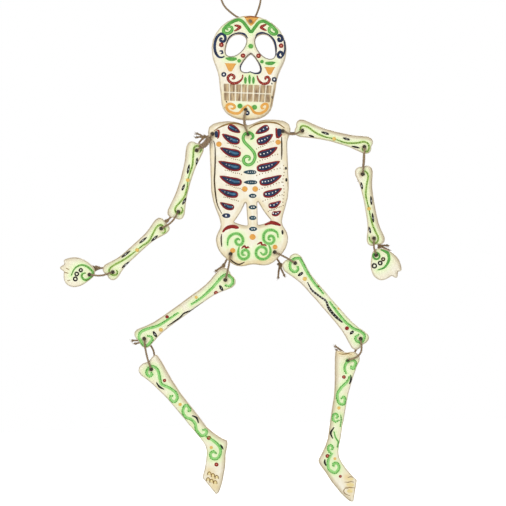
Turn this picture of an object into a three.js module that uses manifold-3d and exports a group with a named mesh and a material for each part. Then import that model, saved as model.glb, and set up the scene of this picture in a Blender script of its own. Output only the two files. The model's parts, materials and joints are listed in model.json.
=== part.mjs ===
// A hanging carved and painted wooden skeleton whose flat bones are tied together with twine.
// Sizes are in millimetres. +Z is up, the painted faces look along -Y, and the origin is the
// point of the hanging loop that a nail carries. "Right" and "left" are the figure's own sides.
import * as THREE from "three";
import { mergeVertices } from "three/addons/utils/BufferGeometryUtils.js";
import Module from "manifold-3d";

const wasm = await Module();
wasm.setup();

// Board, twine and drilling, shared by every piece.
const bodyBoard = 15; // thickness of the skull and the torso
const limbBoard = 8; // thickness of the limb bones and the hands
const twineDiameter = 2.1;
const holeClearance = 0.6; // room round the twine in a drilled hole
const seatGap = 0.3; // between a strand and the face that it lies on
const knotDiameter = 4.4;
const knotLength = 5.6;
const edgeDepth = 2.6; // how far the worked edges run into the board
const limbEdge = 2.3; // how wide the worked edges look from the front
const shinEdge = 1.6;
const handEdge = 1.5;
const skullEdge = 2.6;
const torsoEdge = 4.4;

// Hanging loop, from the nail to the hole in the top of the skull.
const loopDrop = 70;
const loopRightReach = 26; // widest points of the loop beside the nail, on the figure's own sides
const loopLeftReach = 15.8;
const loopShift = 4.2; // the hole lies this far to the viewer's right of the nail

// Skull, measured down from its top hole.
const skullCrown = 5.9;
const skullWidth = 75;
const skullTempleDrop = 27.5;
const skullJawWidth = 57;
const skullJawDrop = 62;
const skullChinWidth = 51;
const skullChinTurn = 83;
const skullLength = 98.4;
const chinHoleDrop = 88.2;
const chinHoleShift = -1;
const faceShift = 1.4; // eyes and nose sit a little off the middle
const eyeInner = 4.4;
const eyeOuter = 24.7;
const eyeTop = 11.8;
const eyeBottom = 36.7;
const shortEye = 0.92; // the eye on the viewer's left is cut this much shorter
const noseTop = 32.3;
const noseBottom = 51;
const noseWidth = 19.4;
const teethTop = 62.8;
const teethHeight = 17.7;
const teethWidth = 49;
const teethFootWidth = 46.4;
const toothColumns = 8;
const toothRows = 2;
const toothRidge = 1; // painted line left standing between two teeth
const toothDepth = 0.7;

// Torso with pelvis, measured from its neck hole.
const neckNotch = 9;
const collarHump = 14;
const collarHumpAt = 19.5;
const rightShoulder = 39.6; // outer corners beside the neck hole
const leftShoulder = 43;
const chestWidth = 77.6;
const chestDrop = 55;
const waistWidth = 61;
const pelvisWidth = 72.4;
const torsoLength = 131.5;
const waistRise = 43; // waist, widest pelvis and hip holes, up from the lower end
const pelvisRise = 27.5;
const hipHoleRise = 13;
const shoulderHoleAt = 35.2;
const shoulderHoleRise = 1.7;
const hipHoleAt = 22;
const spineShift = 1.2;
const spineWidth = 11;
const windowRise = 40.5; // sill of the windows, up from the lower end
const windowHeight = 25.3;
const windowReach = 18.8;

// Limb bones: span is hole to hole, reach is the wood beyond a hole, knuckle is how far an end's
// swelling runs down the bone, and offset moves the wood outwards from the line of the holes.
const upperArm = {
  span: 64, topWidth: 18, topReach: 7.8, endWidth: 17.6,
  endReach: 7.6, shaft: 11, knuckle: 29,
};
const forearm = {
  span: 65, topWidth: 18.2, topReach: 8, endWidth: 18.6,
  endReach: 7.4, shaft: 10.6, knuckle: 21,
};
const thigh = {
  span: 100, topWidth: 22.6, topReach: 8.8, endWidth: 21.4,
  endReach: 6.8, shaft: 12.8, knuckle: 27,
};
const upperArmOffset = 2.1;
const forearmOffset = 1.6;
const rightThighOffset = 1;
const leftThighOffset = -2.2;

// Shin with its foot, measured down from the knee hole; the toes turn outwards.
const shinTopWidth = 25.6;
const shinTopReach = 9.3;
const shinShaft = 12.8;
const shinOffset = -0.7;
const ankleDrop = 80;
const heelDrop = 103;
const heelReach = 12.8;
const toeReach = 29.6;
const toeTopDrop = 116;
const toeTipDrop = 137.6;

// Hand, measured down from the wrist hole.
const handWristReach = 5.6;
const handLength = 30;
const handOuter = 17.4;
const handInner = 13;

// Ties: length is hole to hole; lean is the tie's direction from straight down, + to the viewer's
// right; front and rear are how far its two strands bow to the side; knot is where along the rear
// strand the knot sits; tail is the way its two cut ends point, in degrees in the tie's own plane
// from its right-hand side, and cut is how long they are.
const ties = {
  neck: { length: 24.6, lean: 4.7, front: -3.4, rear: 1.6, knot: 0.63, tail: 275, cut: 6 },
  right_shoulder: { length: 22.8, lean: -44.4, front: 2.2, rear: -5.6, knot: 0.36, tail: 201, cut: 6 },
  right_elbow: { length: 23.9, lean: -46, front: 3.2, rear: -2.2, knot: 0.64, tail: 265, cut: 6 },
  right_wrist: { length: 23.4, lean: -83.6, front: 2.6, rear: -6.6, knot: 0.65, tail: 262, cut: 6 },
  left_shoulder: { length: 19.4, lean: 92.1, front: -4.6, rear: -2, knot: 0.3, tail: 100, cut: 7 },
  left_elbow: { length: 27.5, lean: -3.6, front: 1.2, rear: -1, knot: 0.8, tail: 268, cut: 7 },
  left_wrist: { length: 17, lean: 7.2, front: -1.6, rear: 5, knot: 0.5, tail: 352, cut: 7 },
  right_hip: { length: 26.6, lean: -11.5, front: 0.8, rear: -5, knot: 0.52, tail: 232, cut: 5 },
  right_knee: { length: 31.4, lean: 12.9, front: -1.4, rear: 7.4, knot: 0.12, tail: 163, cut: 15 },
  left_hip: { length: 23.4, lean: 61.7, front: 0.6, rear: -9, knot: 0.47, tail: 210, cut: 10 },
  left_knee: { length: 25.6, lean: -30.8, front: 8.4, rear: 2.6, knot: 0.86, tail: 160, cut: 15 },
};

// Rest pose: each bone's direction from straight down, + to the viewer's right. The leans are read
// with the figure laid out square; hung up, it turns until its weight is plumb below the nail.
const plumbTurn = 1.5;
const skullLean = -2.2;
const torsoLean = 2.3;
const rightUpperArmLean = -16.5;
const rightForearmLean = -48;
const rightHandLean = -90;
const leftUpperArmLean = 75.4;
const leftForearmLean = 10.1;
const leftHandLean = 30;
const rightThighLean = -54.1;
const rightShinLean = 39.2;
const leftThighLean = 40.9;
const leftShinLean = -9.5;

const hipHoleDrop = torsoLength - hipHoleRise;
const twineRadius = twineDiameter / 2;
const holeRadius = twineRadius + holeClearance;
const tubeSides = 8;

// Middle of a strand that lies on the face of a board, measured from the middle of the board.
function seat(thickness) {
  return thickness / 2 + seatGap + twineRadius;
}

// Turns a closed three.js geometry into a solid that can be added to and cut.
function solid(geometry) {
  const plain = geometry.clone();
  plain.deleteAttribute("normal");
  plain.deleteAttribute("uv");
  const merged = mergeVertices(plain, 1e-4);
  const triVerts = new Uint32Array(merged.index.array);
  const vertProperties = new Float32Array(merged.attributes.position.array);
  return new wasm.Manifold(new wasm.Mesh({ numProp: 3, vertProperties, triVerts }));
}

// Makes a named mesh of a finished solid.
function node(name, made, colour) {
  const data = made.getMesh();
  const geometry = new THREE.BufferGeometry();
  geometry.setAttribute("position", new THREE.BufferAttribute(new Float32Array(data.vertProperties), 3));
  geometry.setIndex(new THREE.BufferAttribute(new Uint32Array(data.triVerts), 1));
  geometry.computeVertexNormals();
  const mesh = new THREE.Mesh(geometry, new THREE.MeshStandardMaterial({ color: colour }));
  mesh.name = name;
  return mesh;
}

const woodColour = "#efe4cb";
const twineColour = "#8d6f4c";

// Cuts a board to an outline drawn in x and y, with its edges worked off front and back, and
// stands it up so that the outline's y is the part's Z and its front looks along -Y.
function board(outline, thickness, edge, steps) {
  const geometry = new THREE.ExtrudeGeometry(outline, {
    depth: thickness - 2 * edgeDepth,
    bevelThickness: edgeDepth,
    bevelSize: edge,
    bevelOffset: -edge,
    bevelSegments: 2,
    curveSegments: steps,
  });
  geometry.translate(0, 0, edgeDepth - thickness / 2);
  geometry.rotateX(Math.PI / 2);
  return solid(geometry);
}

// A straight cutter of an outline, from depth "from" to "to" along Y.
function cutter(outline, from, to, steps) {
  const geometry = new THREE.ExtrudeGeometry(outline, {
    depth: to - from,
    bevelEnabled: false,
    curveSegments: steps,
  });
  geometry.rotateX(Math.PI / 2);
  geometry.translate(0, to, 0);
  return solid(geometry);
}

// A drilled hole through the board at x, z.
function drill(made, x, z) {
  const bit = new THREE.CylinderGeometry(holeRadius, holeRadius, bodyBoard + limbBoard, 16);
  bit.translate(x, 0, z);
  return made.subtract(solid(bit));
}

// Draws cubic curves one after another; each step is two handles and an end point, with x turned
// over for a mirrored piece.
function draw(path, side, steps) {
  for (const [a, b, c, d, e, f] of steps) {
    path.bezierCurveTo(side * a, b, side * c, d, side * e, f);
  }
  return path;
}

// The same curves from the other end, for the second half of a symmetric outline.
function backwards(start, steps) {
  const ends = [start, ...steps.map((s) => [s[4], s[5]])];
  return steps.map((s, i) => [s[2], s[3], s[0], s[1], ends[i][0], ends[i][1]]).reverse();
}

// A closed outline from the viewer's right-hand half, which starts and ends on the middle line; the
// other half is the same unless it is given.
function symmetric(start, half, other = half) {
  const shape = new THREE.Shape();
  shape.moveTo(start[0], start[1]);
  draw(shape, 1, half);
  draw(shape, -1, backwards(start, other));
  return shape;
}

// A limb bone with two-lobed ends and a waisted shaft.
function limb(size, offset) {
  const a = size.topWidth / 2;
  const b = size.endWidth / 2;
  const c = size.shaft / 2;
  const k = size.knuckle;
  const end = -size.span;
  const plain = size.span - 2 * k;
  const high = size.topReach;
  const low = size.endReach;
  const half = [
    [0.36 * a, 1.14 * high, 1.06 * a, 1.02 * high, a, 0.12 * high],
    [0.84 * a, -0.3 * k, c, -0.5 * k, c, -k],
    [0.97 * c, -k - 0.3 * plain, 0.97 * c, end + k + 0.3 * plain, c, end + k],
    [c, end + 0.5 * k, 0.84 * b, end + 0.3 * k, b, end - 0.12 * low],
    [1.06 * b, end - 1.02 * low, 0.36 * b, end - 1.14 * low, 0, end - 0.88 * low],
  ];
  const outline = symmetric([0, 0.88 * high], half);
  const made = board(outline, limbBoard, limbEdge, 4).translate([offset, 0, 0]);
  return drill(drill(made, 0, 0), 0, -size.span);
}

// Skull: a heart-shaped head board with eyes and nose cut through and two rows of scraped teeth.
function skullSolid() {
  const w = skullWidth / 2;
  const j = skullJawWidth / 2;
  const c = skullChinWidth / 2;
  const cheek = skullJawDrop - skullTempleDrop;
  const jaw = skullChinTurn - skullJawDrop;
  const chin = skullLength - skullChinTurn;
  const half = [
    [0.53 * w, skullCrown, w, -0.3 * skullTempleDrop, w, -skullTempleDrop],
    [w, -skullTempleDrop - 0.42 * cheek, j + 0.9, -skullJawDrop + 0.43 * cheek, j, -skullJawDrop],
    [j - 0.6, -skullJawDrop - 0.33 * jaw, c + 0.8, -skullChinTurn + 0.33 * jaw, c, -skullChinTurn],
    [0.92 * c, -skullChinTurn - 0.71 * chin, 0.47 * c, -skullLength, 0, -skullLength],
  ];
  let made = board(symmetric([0, skullCrown], half), bodyBoard, skullEdge, 7);
  const deep = bodyBoard / 2 + 1;
  for (const side of [-1, 1]) {
    const eye = new THREE.Shape();
    const across = (share) => eyeInner + share * (eyeOuter - eyeInner);
    const middle = (eyeTop + eyeBottom) / 2;
    const height = (eyeBottom - eyeTop) * (side < 0 ? shortEye : 1);
    const down = (share) => -middle + (0.5 - share) * height;
    eye.moveTo(side * eyeInner, down(0.336));
    draw(eye, side, [
      [across(-0.02), down(0.12), across(0.17), down(0), across(0.41), down(0)],
      [across(0.74), down(0), across(0.95), down(0.28), across(1), down(0.65)],
      [across(1.03), down(0.9), across(0.95), down(1), across(0.74), down(1)],
      [across(0.4), down(0.98), across(0.05), down(0.67), eyeInner, down(0.336)],
    ]);
    made = made.subtract(cutter(eye, -deep, deep, 6).translate([faceShift, 0, 0]));
  }
  const n = noseWidth / 2;
  const tall = noseBottom - noseTop;
  const nose = symmetric([0, -noseTop], [
    [0.25 * n, -noseTop - 0.6, n, -noseBottom + 0.48 * tall, n, -noseBottom + 0.19 * tall],
    [n, -noseBottom - 0.6, 0.35 * n, -noseBottom - 1, 0, -noseBottom + 1.2],
  ]);
  made = made.subtract(cutter(nose, -deep, deep, 5).translate([faceShift + 0.6, 0, 0]));
  const row = teethHeight / toothRows;
  for (let r = 0; r < toothRows; r += 1) {
    const top = -teethTop - r * row - toothRidge / 2;
    const foot = top - row + toothRidge;
    for (let i = 0; i < toothColumns; i += 1) {
      const pocket = new THREE.Shape();
      const corners = [[top, 0, 1], [top, 1, -1], [foot, 1, -1], [foot, 0, 1]];
      for (const [z, over, inwards] of corners) {
        const down = (-teethTop - z) / teethHeight;
        const width = teethWidth + (teethFootWidth - teethWidth) * down;
        const x = width * ((i + over) / toothColumns - 0.5) + (inwards * toothRidge) / 2;
        if (pocket.curves.length === 0 && pocket.currentPoint.lengthSq() === 0) pocket.moveTo(x, z);
        else pocket.lineTo(x, z);
      }
      const face = -bodyBoard / 2;
      made = made.subtract(cutter(pocket, face - 1, face + toothDepth, 1));
    }
  }
  return drill(drill(made, 0, 0), chinHoleShift, -chinHoleDrop);
}

// Torso and pelvis in one board, with two three-cornered windows beside the spine.
function torsoSolid() {
  const c = chestWidth / 2;
  const w = waistWidth / 2;
  const p = pelvisWidth / 2;
  const waist = waistRise - torsoLength;
  const pelvis = pelvisRise - torsoLength;
  const foot = -torsoLength;
  const half = (s) => [
    [0.26 * collarHumpAt, neckNotch + 0.4, 0.5 * collarHumpAt, collarHump, collarHumpAt, collarHump],
    [0.78 * s, collarHump, s + 0.6, 0.86 * collarHump, s, 0.26 * collarHump],
    [s - 0.4, -0.04 * chestDrop, c - 0.5, -0.11 * chestDrop, c, -0.24 * chestDrop],
    [c, -0.36 * chestDrop, c, -0.85 * chestDrop, c, -chestDrop],
    [c, -chestDrop + 0.39 * (waist + chestDrop), w + 0.5, waist + 8, w, waist],
    [w - 0.4, waist - 0.35 * (waist - pelvis), p, pelvis + 0.45 * (waist - pelvis), p, pelvis],
    [p, foot + 0.69 * pelvisRise, 0.884 * p, foot + 0.473 * pelvisRise, 0.74 * p, foot + 0.305 * pelvisRise],
    [0.62 * p, foot + 0.131 * pelvisRise, 0.483 * p, foot, 0.33 * p, foot],
    [0.19 * p, foot, 0.11 * p, foot + 1.5, 0, foot + 1.5],
  ];
  const notch = [0, neckNotch];
  let made = board(symmetric(notch, half(leftShoulder), half(rightShoulder)), bodyBoard, torsoEdge, 4);
  const deep = bodyBoard / 2 + 1;
  const spine = spineWidth / 2;
  const sill = windowRise - torsoLength;
  const head = sill + windowHeight;
  const wide = windowReach - spine;
  for (const side of [-1, 1]) {
    const window = new THREE.Shape();
    window.moveTo(side * spine, head);
    window.quadraticCurveTo(side * (spine + 0.49 * wide), head - 0.55 * windowHeight,
      side * windowReach, sill + 0.17 * windowHeight);
    window.quadraticCurveTo(side * (spine + 0.45 * wide), sill + 0.4, side * (spine - 0.6), sill);
    window.closePath();
    made = made.subtract(cutter(window, -deep, deep, 5).translate([spineShift, 0, 0]));
    made = drill(made, side * shoulderHoleAt, shoulderHoleRise);
    made = drill(made, side * hipHoleAt, -hipHoleDrop);
  }
  return drill(made, 0, 0);
}

// Shin and foot in one board. Side -1 is the figure's right leg, whose toes turn to the viewer's left.
function shinSolid(side) {
  const a = shinTopWidth / 2;
  const c = shinShaft / 2;
  const heel = -heelDrop;
  const shape = new THREE.Shape();
  const flip = -side;
  shape.moveTo(2 * flip, 0.84 * shinTopReach);
  draw(shape, flip, [
    [6, 0.9 * shinTopReach, a - 2, 1.1 * shinTopReach, a + 0.2, 0.8 * shinTopReach],
    [a + 0.4, 0, 0.7 * a, -14, c + 0.6, -36],
    [c + 0.2, -52, c + 0.4, -ankleDrop + 16, c - 0.4, -ankleDrop],
    [c + 0.4, heel + 13, heelReach - 1.4, heel + 2.6, heelReach + 0.4, heel],
    [heelReach + 0.2, heel - 4, 2.4, heel - 9, -0.8, heel - 14.6],
    [-5, heel - 20, -10.6, -toeTipDrop + 11, -13.4, -toeTipDrop + 8],
    [-17.6, -toeTipDrop + 4.4, -22.6, -toeTipDrop + 1, -toeReach + 3, -toeTipDrop - 0.6],
  ]);
  shape.lineTo(-flip * toeReach, -toeTipDrop - 0.4);
  shape.lineTo(-flip * toeReach, -toeTopDrop);
  draw(shape, flip, [
    [-23, -toeTopDrop + 3.6, -13, heel - 0.4, -9, heel + 5.4],
    [-6.8, heel + 9, -c + 0.6, -ankleDrop - 8, -c - 0.2, -ankleDrop],
    [-c - 0.2, -ankleDrop + 14, -c, -54, -c - 0.6, -32],
    [-0.66 * a, -18, -0.76 * a, -6, -a + 0.2, 0.2 * shinTopReach],
    [-1.1 * a, 1.04 * shinTopReach, -0.4 * a, 1.3 * shinTopReach, 2, 0.84 * shinTopReach],
  ]);
  const made = board(shape, limbBoard, shinEdge, 4);
  return drill(made.translate([side * shinOffset, 0, 0]), 0, 0);
}

// Hand: a mitten with stubby fingers. Side -1 is the figure's right hand.
function handSolid(side) {
  const tip = -handLength;
  const shape = new THREE.Shape();
  shape.moveTo(2 * side, handWristReach);
  draw(shape, -side, [
    [2, handWristReach + 0.2, 4.4, 1.6, 0.66 * handInner, -4],
    [0.9 * handInner, -8.6, handInner - 0.6, -12.6, handInner - 0.4, -16.4],
    [handInner - 1, -20.4, 10.2, tip + 6.4, 7, tip + 5],
    [4, tip + 4, 0.4, tip + 3.6, -3, tip + 4.4],
    [-4.4, tip + 3, -5, tip + 0.4, -6.6, tip],
    [-8.4, tip + 0.2, -9.2, tip + 3, -10.8, tip + 5],
    [-12, tip + 4, -14.2, tip + 3.2, -15.2, tip + 5],
    [-16.6, tip + 8, -handOuter, -19, -handOuter, -14.6],
    [-handOuter, -8.4, -14.6, -3.6, -10.6, 0.8],
    [-8.4, 3.6, -5.4, handWristReach, -2, handWristReach],
  ]);
  return drill(board(shape, limbBoard, handEdge, 4), 0, 0);
}

// A curve whose steps are its own points, so that the rings of a tube sit just where they are put.
class SteppedCurve extends THREE.CatmullRomCurve3 {
  getPointAt(t, target) {
    return this.getPoint(t, target);
  }

  getTangentAt(t, target) {
    return this.getTangent(t, target);
  }
}

// A short round bead of twine about a point, lying along a direction in the XZ plane.
function bead(centre, direction, width, length) {
  const profile = [];
  const turns = 8;
  for (let i = 0; i <= turns; i += 1) {
    const t = (Math.PI * i) / turns;
    profile.push(new THREE.Vector2((width / 2) * Math.sin(t) ** 0.7, (-length / 2) * Math.cos(t)));
  }
  profile[0].x = 0;
  profile[turns].x = 0;
  const geometry = new THREE.LatheGeometry(profile, 10);
  geometry.applyQuaternion(new THREE.Quaternion().setFromUnitVectors(new THREE.Vector3(0, 1, 0), direction));
  geometry.translate(centre.x, centre.y, centre.z);
  return solid(geometry);
}

// A length of twine with closed ends along a list of points.
function twine(points) {
  const path = new SteppedCurve(points, false, "catmullrom", 0.5);
  const ring = new THREE.Shape();
  ring.absarc(0, 0, twineRadius, 0, 2 * Math.PI);
  const geometry = new THREE.ExtrudeGeometry(ring, {
    steps: points.length - 1,
    extrudePath: path,
    bevelEnabled: false,
    curveSegments: tubeSides / 2,
  });
  return solid(geometry);
}

// One tie: a closed loop of twine through two holes, a knot on the rear strand and its two cut ends.
// It hangs from its own origin, the axis of the upper hole, to the lower hole straight below it.
function tieSolid(tie, upperBoard, lowerBoard) {
  const bend = 1.5; // how tightly the twine turns at the mouth of a hole
  const points = [];
  const high = seat(upperBoard);
  const low = seat(lowerBoard);
  const strand = (side, bow, downwards) => {
    const count = 5;
    for (let i = 0; i <= count; i += 1) {
      const t = downwards ? i / count : 1 - i / count;
      const z = -0.5 * bend - t * (tie.length - bend);
      const x = bow * Math.sin(Math.PI * (0.06 + 0.88 * t)) - bow * Math.sin(0.06 * Math.PI);
      const fall = Math.max(0, t - 0.4) / 0.6; // it leaves the upper board before it slants to the lower
      points.push(new THREE.Vector3(x, side * (high + (low - high) * fall), z));
    }
  };
  const pin = (z, from, to) => {
    const inward = Math.sign(to - from) * bend;
    points.push(new THREE.Vector3(0, from + inward, z));
    points.push(new THREE.Vector3(0, to - inward, z));
  };
  pin(0, -high, high);
  strand(1, tie.rear, true);
  pin(-tie.length, low, -low);
  strand(-1, tie.front, false);
  const path = new SteppedCurve(points, true, "catmullrom", 0.5);
  let made = solid(new THREE.TubeGeometry(path, points.length, twineRadius, tubeSides, true));
  const knotX = tie.rear * Math.sin(Math.PI * tie.knot);
  const knotY = Math.max(upperBoard, lowerBoard) / 2 + seatGap + knotDiameter / 2;
  const knot = new THREE.Vector3(knotX, knotY, -tie.length * tie.knot);
  const lie = new THREE.Vector3(Math.sin(0.4), 0, Math.cos(0.4));
  made = made.add(bead(knot, lie, knotDiameter, knotLength));
  for (const [spread, reach] of [[-17, 1], [15, 0.8]]) {
    const way = ((tie.tail + spread) * Math.PI) / 180;
    const out = new THREE.Vector3(Math.cos(way), 0, Math.sin(way));
    const ends = [0, 0.36, 0.7, 1].map((t) => {
      const point = knot.clone().addScaledVector(out, t * reach * (tie.cut + knotLength / 2));
      point.z -= 1.6 * t * t;
      return point;
    });
    made = made.add(twine(ends));
  }
  return made;
}

// The hanging loop: a stopper knot in front of the skull, through its top hole, and round the nail.
function hangerSolid() {
  const rise = loopDrop + twineRadius;
  const back = seat(bodyBoard);
  const left = -loopRightReach;
  const right = loopLeftReach;
  const at = (x, share, up) => new THREE.Vector3(x, share * back, up - loopDrop);
  const points = [
    at(loopShift, -1, 0),
    at(loopShift, 0, 0),
    at(loopShift, 0.8, 0),
    at(loopShift - 1.2, 1, 1.1),
    at(loopShift - 6.2, 1, 3.2),
    at(loopShift - 11.5, 1, 5.1),
    at(left + 13.3, 1, 8.3),
    at(left + 5.5, 0.92, 15.1),
    at(left + 1.6, 0.8, 0.31 * rise),
    at(left, 0.64, 0.43 * rise),
    at(left + 0.6, 0.5, 0.56 * rise),
    at(left + 4, 0.34, 0.71 * rise),
    at(left + 10.6, 0.16, 0.87 * rise),
    at(left + 18.6, 0.04, 0.97 * rise),
    at(0, 0, rise),
    at(right - 9, 0.05, 0.96 * rise),
    at(right - 4, 0.18, 0.85 * rise),
    at(right - 0.9, 0.36, 0.69 * rise),
    at(right, 0.54, 0.53 * rise),
    at(right - 0.4, 0.7, 0.4 * rise),
    at(right - 1.6, 0.84, 0.28 * rise),
    at(right - 3.2, 1, 14),
    at(loopShift + 5.4, 1.04, 6.6),
    at(loopShift + 2.6, 1.08, 3.2),
  ];
  let made = twine(points);
  const stopper = new THREE.SphereGeometry(1, 10, 8);
  stopper.scale(2.3, 1.5, 2.3);
  stopper.translate(loopShift, -bodyBoard / 2 - seatGap - 1.5, -loopDrop);
  made = made.add(solid(stopper));
  const knot = new THREE.Vector3(loopShift + 1, bodyBoard / 2 + seatGap + knotDiameter / 2, 2 - loopDrop);
  return made.add(bead(knot, new THREE.Vector3(0.8, 0, 0.6), knotDiameter, knotLength + 1));
}

// A group whose origin is a hinge; lean is its direction from straight down in the rest pose.
function hinge(parent, name, x, z, lean) {
  const group = new THREE.Group();
  group.name = name;
  group.userData.lean = lean;
  group.position.set(x, 0, z);
  group.rotation.y = THREE.MathUtils.degToRad((parent.userData.lean ?? 0) - lean);
  parent.add(group);
  return group;
}

// Hangs a tie in a hole of its parent and a piece from the tie, and returns the piece's group.
function hang(parent, tieName, x, z, pieceName, made, lean) {
  const tie = ties[tieName];
  const fromBody = tieName === "neck" || tieName.endsWith("shoulder") || tieName.endsWith("hip");
  const upperBoard = fromBody ? bodyBoard : limbBoard;
  const lowerBoard = tieName === "neck" ? bodyBoard : limbBoard;
  const upper = hinge(parent, tieName + "_tie_hinge", x, z, tie.lean);
  upper.add(node(tieName + "_tie", tieSolid(tie, upperBoard, lowerBoard), twineColour));
  const lower = hinge(upper, pieceName + "_hinge", 0, -tie.length, lean);
  lower.add(node(pieceName, made, woodColour));
  return lower;
}

const skeleton = new THREE.Group();
skeleton.name = "carved_skeleton";
const hung = hinge(skeleton, "hung_on_nail", 0, 0, -plumbTurn);
hung.userData.lean = 0;
hung.add(node("hanger_loop", hangerSolid(), twineColour));

const skull = hinge(hung, "skull_hinge", loopShift, -loopDrop, skullLean);
skull.add(node("skull", skullSolid(), woodColour));
const torso = hang(skull, "neck", chinHoleShift, -chinHoleDrop, "torso", torsoSolid(), torsoLean);

const sides = [
  {
    name: "right",
    side: -1,
    arm: [rightUpperArmLean, rightForearmLean, rightHandLean],
    leg: [rightThighLean, rightShinLean],
    thighOffset: -rightThighOffset,
  },
  {
    name: "left",
    side: 1,
    arm: [leftUpperArmLean, leftForearmLean, leftHandLean],
    leg: [leftThighLean, leftShinLean],
    thighOffset: leftThighOffset,
  },
];
for (const { name, side, arm, leg, thighOffset } of sides) {
  const shoulder = [side * shoulderHoleAt, shoulderHoleRise];
  const upper = hang(torso, name + "_shoulder", ...shoulder, name + "_upper_arm",
    limb(upperArm, side * upperArmOffset), arm[0]);
  const lower = hang(upper, name + "_elbow", 0, -upperArm.span, name + "_forearm",
    limb(forearm, side * forearmOffset), arm[1]);
  hang(lower, name + "_wrist", 0, -forearm.span, name + "_hand", handSolid(side), arm[2]);
  const femur = hang(torso, name + "_hip", side * hipHoleAt, -hipHoleDrop, name + "_thigh",
    limb(thigh, thighOffset), leg[0]);
  hang(femur, name + "_knee", 0, -thigh.span, name + "_shin", shinSolid(side), leg[1]);
}

export default skeleton;
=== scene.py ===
import json
import math
import random

import bpy
import numpy as np
from mathutils import Matrix, Vector
from mathutils.bvhtree import BVHTree
from mathutils.kdtree import KDTree

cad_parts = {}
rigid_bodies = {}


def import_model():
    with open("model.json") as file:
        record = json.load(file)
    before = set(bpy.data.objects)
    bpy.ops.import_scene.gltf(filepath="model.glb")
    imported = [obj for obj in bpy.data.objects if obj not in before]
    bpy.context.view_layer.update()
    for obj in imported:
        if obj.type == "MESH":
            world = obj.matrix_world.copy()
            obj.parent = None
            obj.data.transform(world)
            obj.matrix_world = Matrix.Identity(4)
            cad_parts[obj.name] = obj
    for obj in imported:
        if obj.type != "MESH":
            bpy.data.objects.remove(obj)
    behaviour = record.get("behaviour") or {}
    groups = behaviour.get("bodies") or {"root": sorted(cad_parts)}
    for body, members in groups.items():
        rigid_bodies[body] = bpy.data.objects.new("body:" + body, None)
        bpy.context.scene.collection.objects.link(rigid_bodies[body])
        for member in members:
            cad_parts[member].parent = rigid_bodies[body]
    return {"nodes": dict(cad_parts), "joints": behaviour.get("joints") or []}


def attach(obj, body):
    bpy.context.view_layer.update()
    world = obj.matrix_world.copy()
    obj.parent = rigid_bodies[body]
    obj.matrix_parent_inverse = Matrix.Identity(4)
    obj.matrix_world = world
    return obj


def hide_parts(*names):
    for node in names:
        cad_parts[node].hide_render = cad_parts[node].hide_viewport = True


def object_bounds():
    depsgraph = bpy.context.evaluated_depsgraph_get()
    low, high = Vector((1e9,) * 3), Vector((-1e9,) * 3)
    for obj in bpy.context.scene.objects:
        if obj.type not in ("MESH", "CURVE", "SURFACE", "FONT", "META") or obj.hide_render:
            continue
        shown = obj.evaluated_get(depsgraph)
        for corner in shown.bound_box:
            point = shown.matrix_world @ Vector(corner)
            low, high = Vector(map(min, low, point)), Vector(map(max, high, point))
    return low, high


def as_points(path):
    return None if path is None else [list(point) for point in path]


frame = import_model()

scene = bpy.context.scene
scene.view_settings.view_transform = "Standard"
cad_box = [list(corner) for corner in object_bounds()]
joint_at = {joint["name"]: Vector(joint["pos_m"]) for joint in frame["joints"]}

# Camera. The figure was photographed square from the front, laid out flat; one pixel is one
# millimetre. Hung on its nail it turns until its weight is plumb, so the camera leans with it.
plumb = math.radians(1.5)
picture_side, far_off, film = 506, 2500, 36
nail_across, nail_above = 246, 48.1


def hung(x, y, z):
    """Millimetres from the nail in the squarely laid figure, as a place in the frame."""
    c, s = math.cos(plumb), math.sin(plumb)
    return Vector((x * c + z * s, y, z * c - x * s)) / 1000


def spot(across, down, y=0.0):
    """A place in the picture, counted in pixels from its upper left corner."""
    return hung(across - nail_across, y, -nail_above - down)


camera_data = bpy.data.cameras.new("camera")
camera_data.sensor_width = film
camera_data.lens = film * far_off / picture_side
camera = bpy.data.objects.new("camera", camera_data)
scene.collection.objects.link(camera)
upright = Matrix.Rotation(plumb, 4, "Y") @ Matrix.Rotation(math.pi / 2, 4, "X")
lens_at = spot(picture_side / 2, picture_side / 2, -far_off)
camera.matrix_world = Matrix.Translation(lens_at) @ upright
scene.camera = camera

# Hanging loop: a length of natural jute twine, three yarns laid up together, pushed through the
# hole in the crown from behind, stopped with a knot in front and knotted again behind the skull.
twine_radius, yarn_radius, frayed_radius, twine_lay = 1.05, 0.53, 0.42, 6.4
twine_step, frayed_hairs, stray_hairs = 0.0006, 16, 0.9
body_board, knot_girth = 15.0, 1.15
loop_rise, loop_back, crown_depth = 71.05, body_board / 2 + 0.3 + twine_radius, 70


def linear(code):
    """A written colour as the light it stands for."""
    parts = [int(code[i:i + 2], 16) / 255 for i in (1, 3, 5)]
    return [p / 12.92 if p <= 0.04045 else ((p + 0.055) / 1.055) ** 2.4 for p in parts] + [1.0]


def finish(name, roughness):
    """A new material with its shader, and the means to add nodes to it."""
    material = bpy.data.materials.new(name)
    material.use_nodes = True
    tree = material.node_tree
    shader = tree.nodes["Principled BSDF"]
    shader.inputs["Roughness"].default_value = roughness
    return material, tree, shader


def feed(tree, socket, value):
    """Leads another socket, a written colour or a plain number into a socket."""
    if isinstance(value, bpy.types.NodeSocket):
        tree.links.new(value, socket)
    else:
        socket.default_value = linear(value) if isinstance(value, str) else value


def made(tree, kind, given, result, **settings):
    """What comes out of a new node that is set as asked and fed with what is given."""
    node = tree.nodes.new("ShaderNode" + kind)
    for name, value in settings.items():
        setattr(node, name, value)
    for name, value in given.items():
        feed(tree, node.inputs[name], value)
    return node.outputs[result]


def mixed(tree, share, first, second):
    """A share of the second colour in the first."""
    return made(tree, "Mix", {0: share, 6: first, 7: second}, 2, data_type="RGBA")


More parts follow.
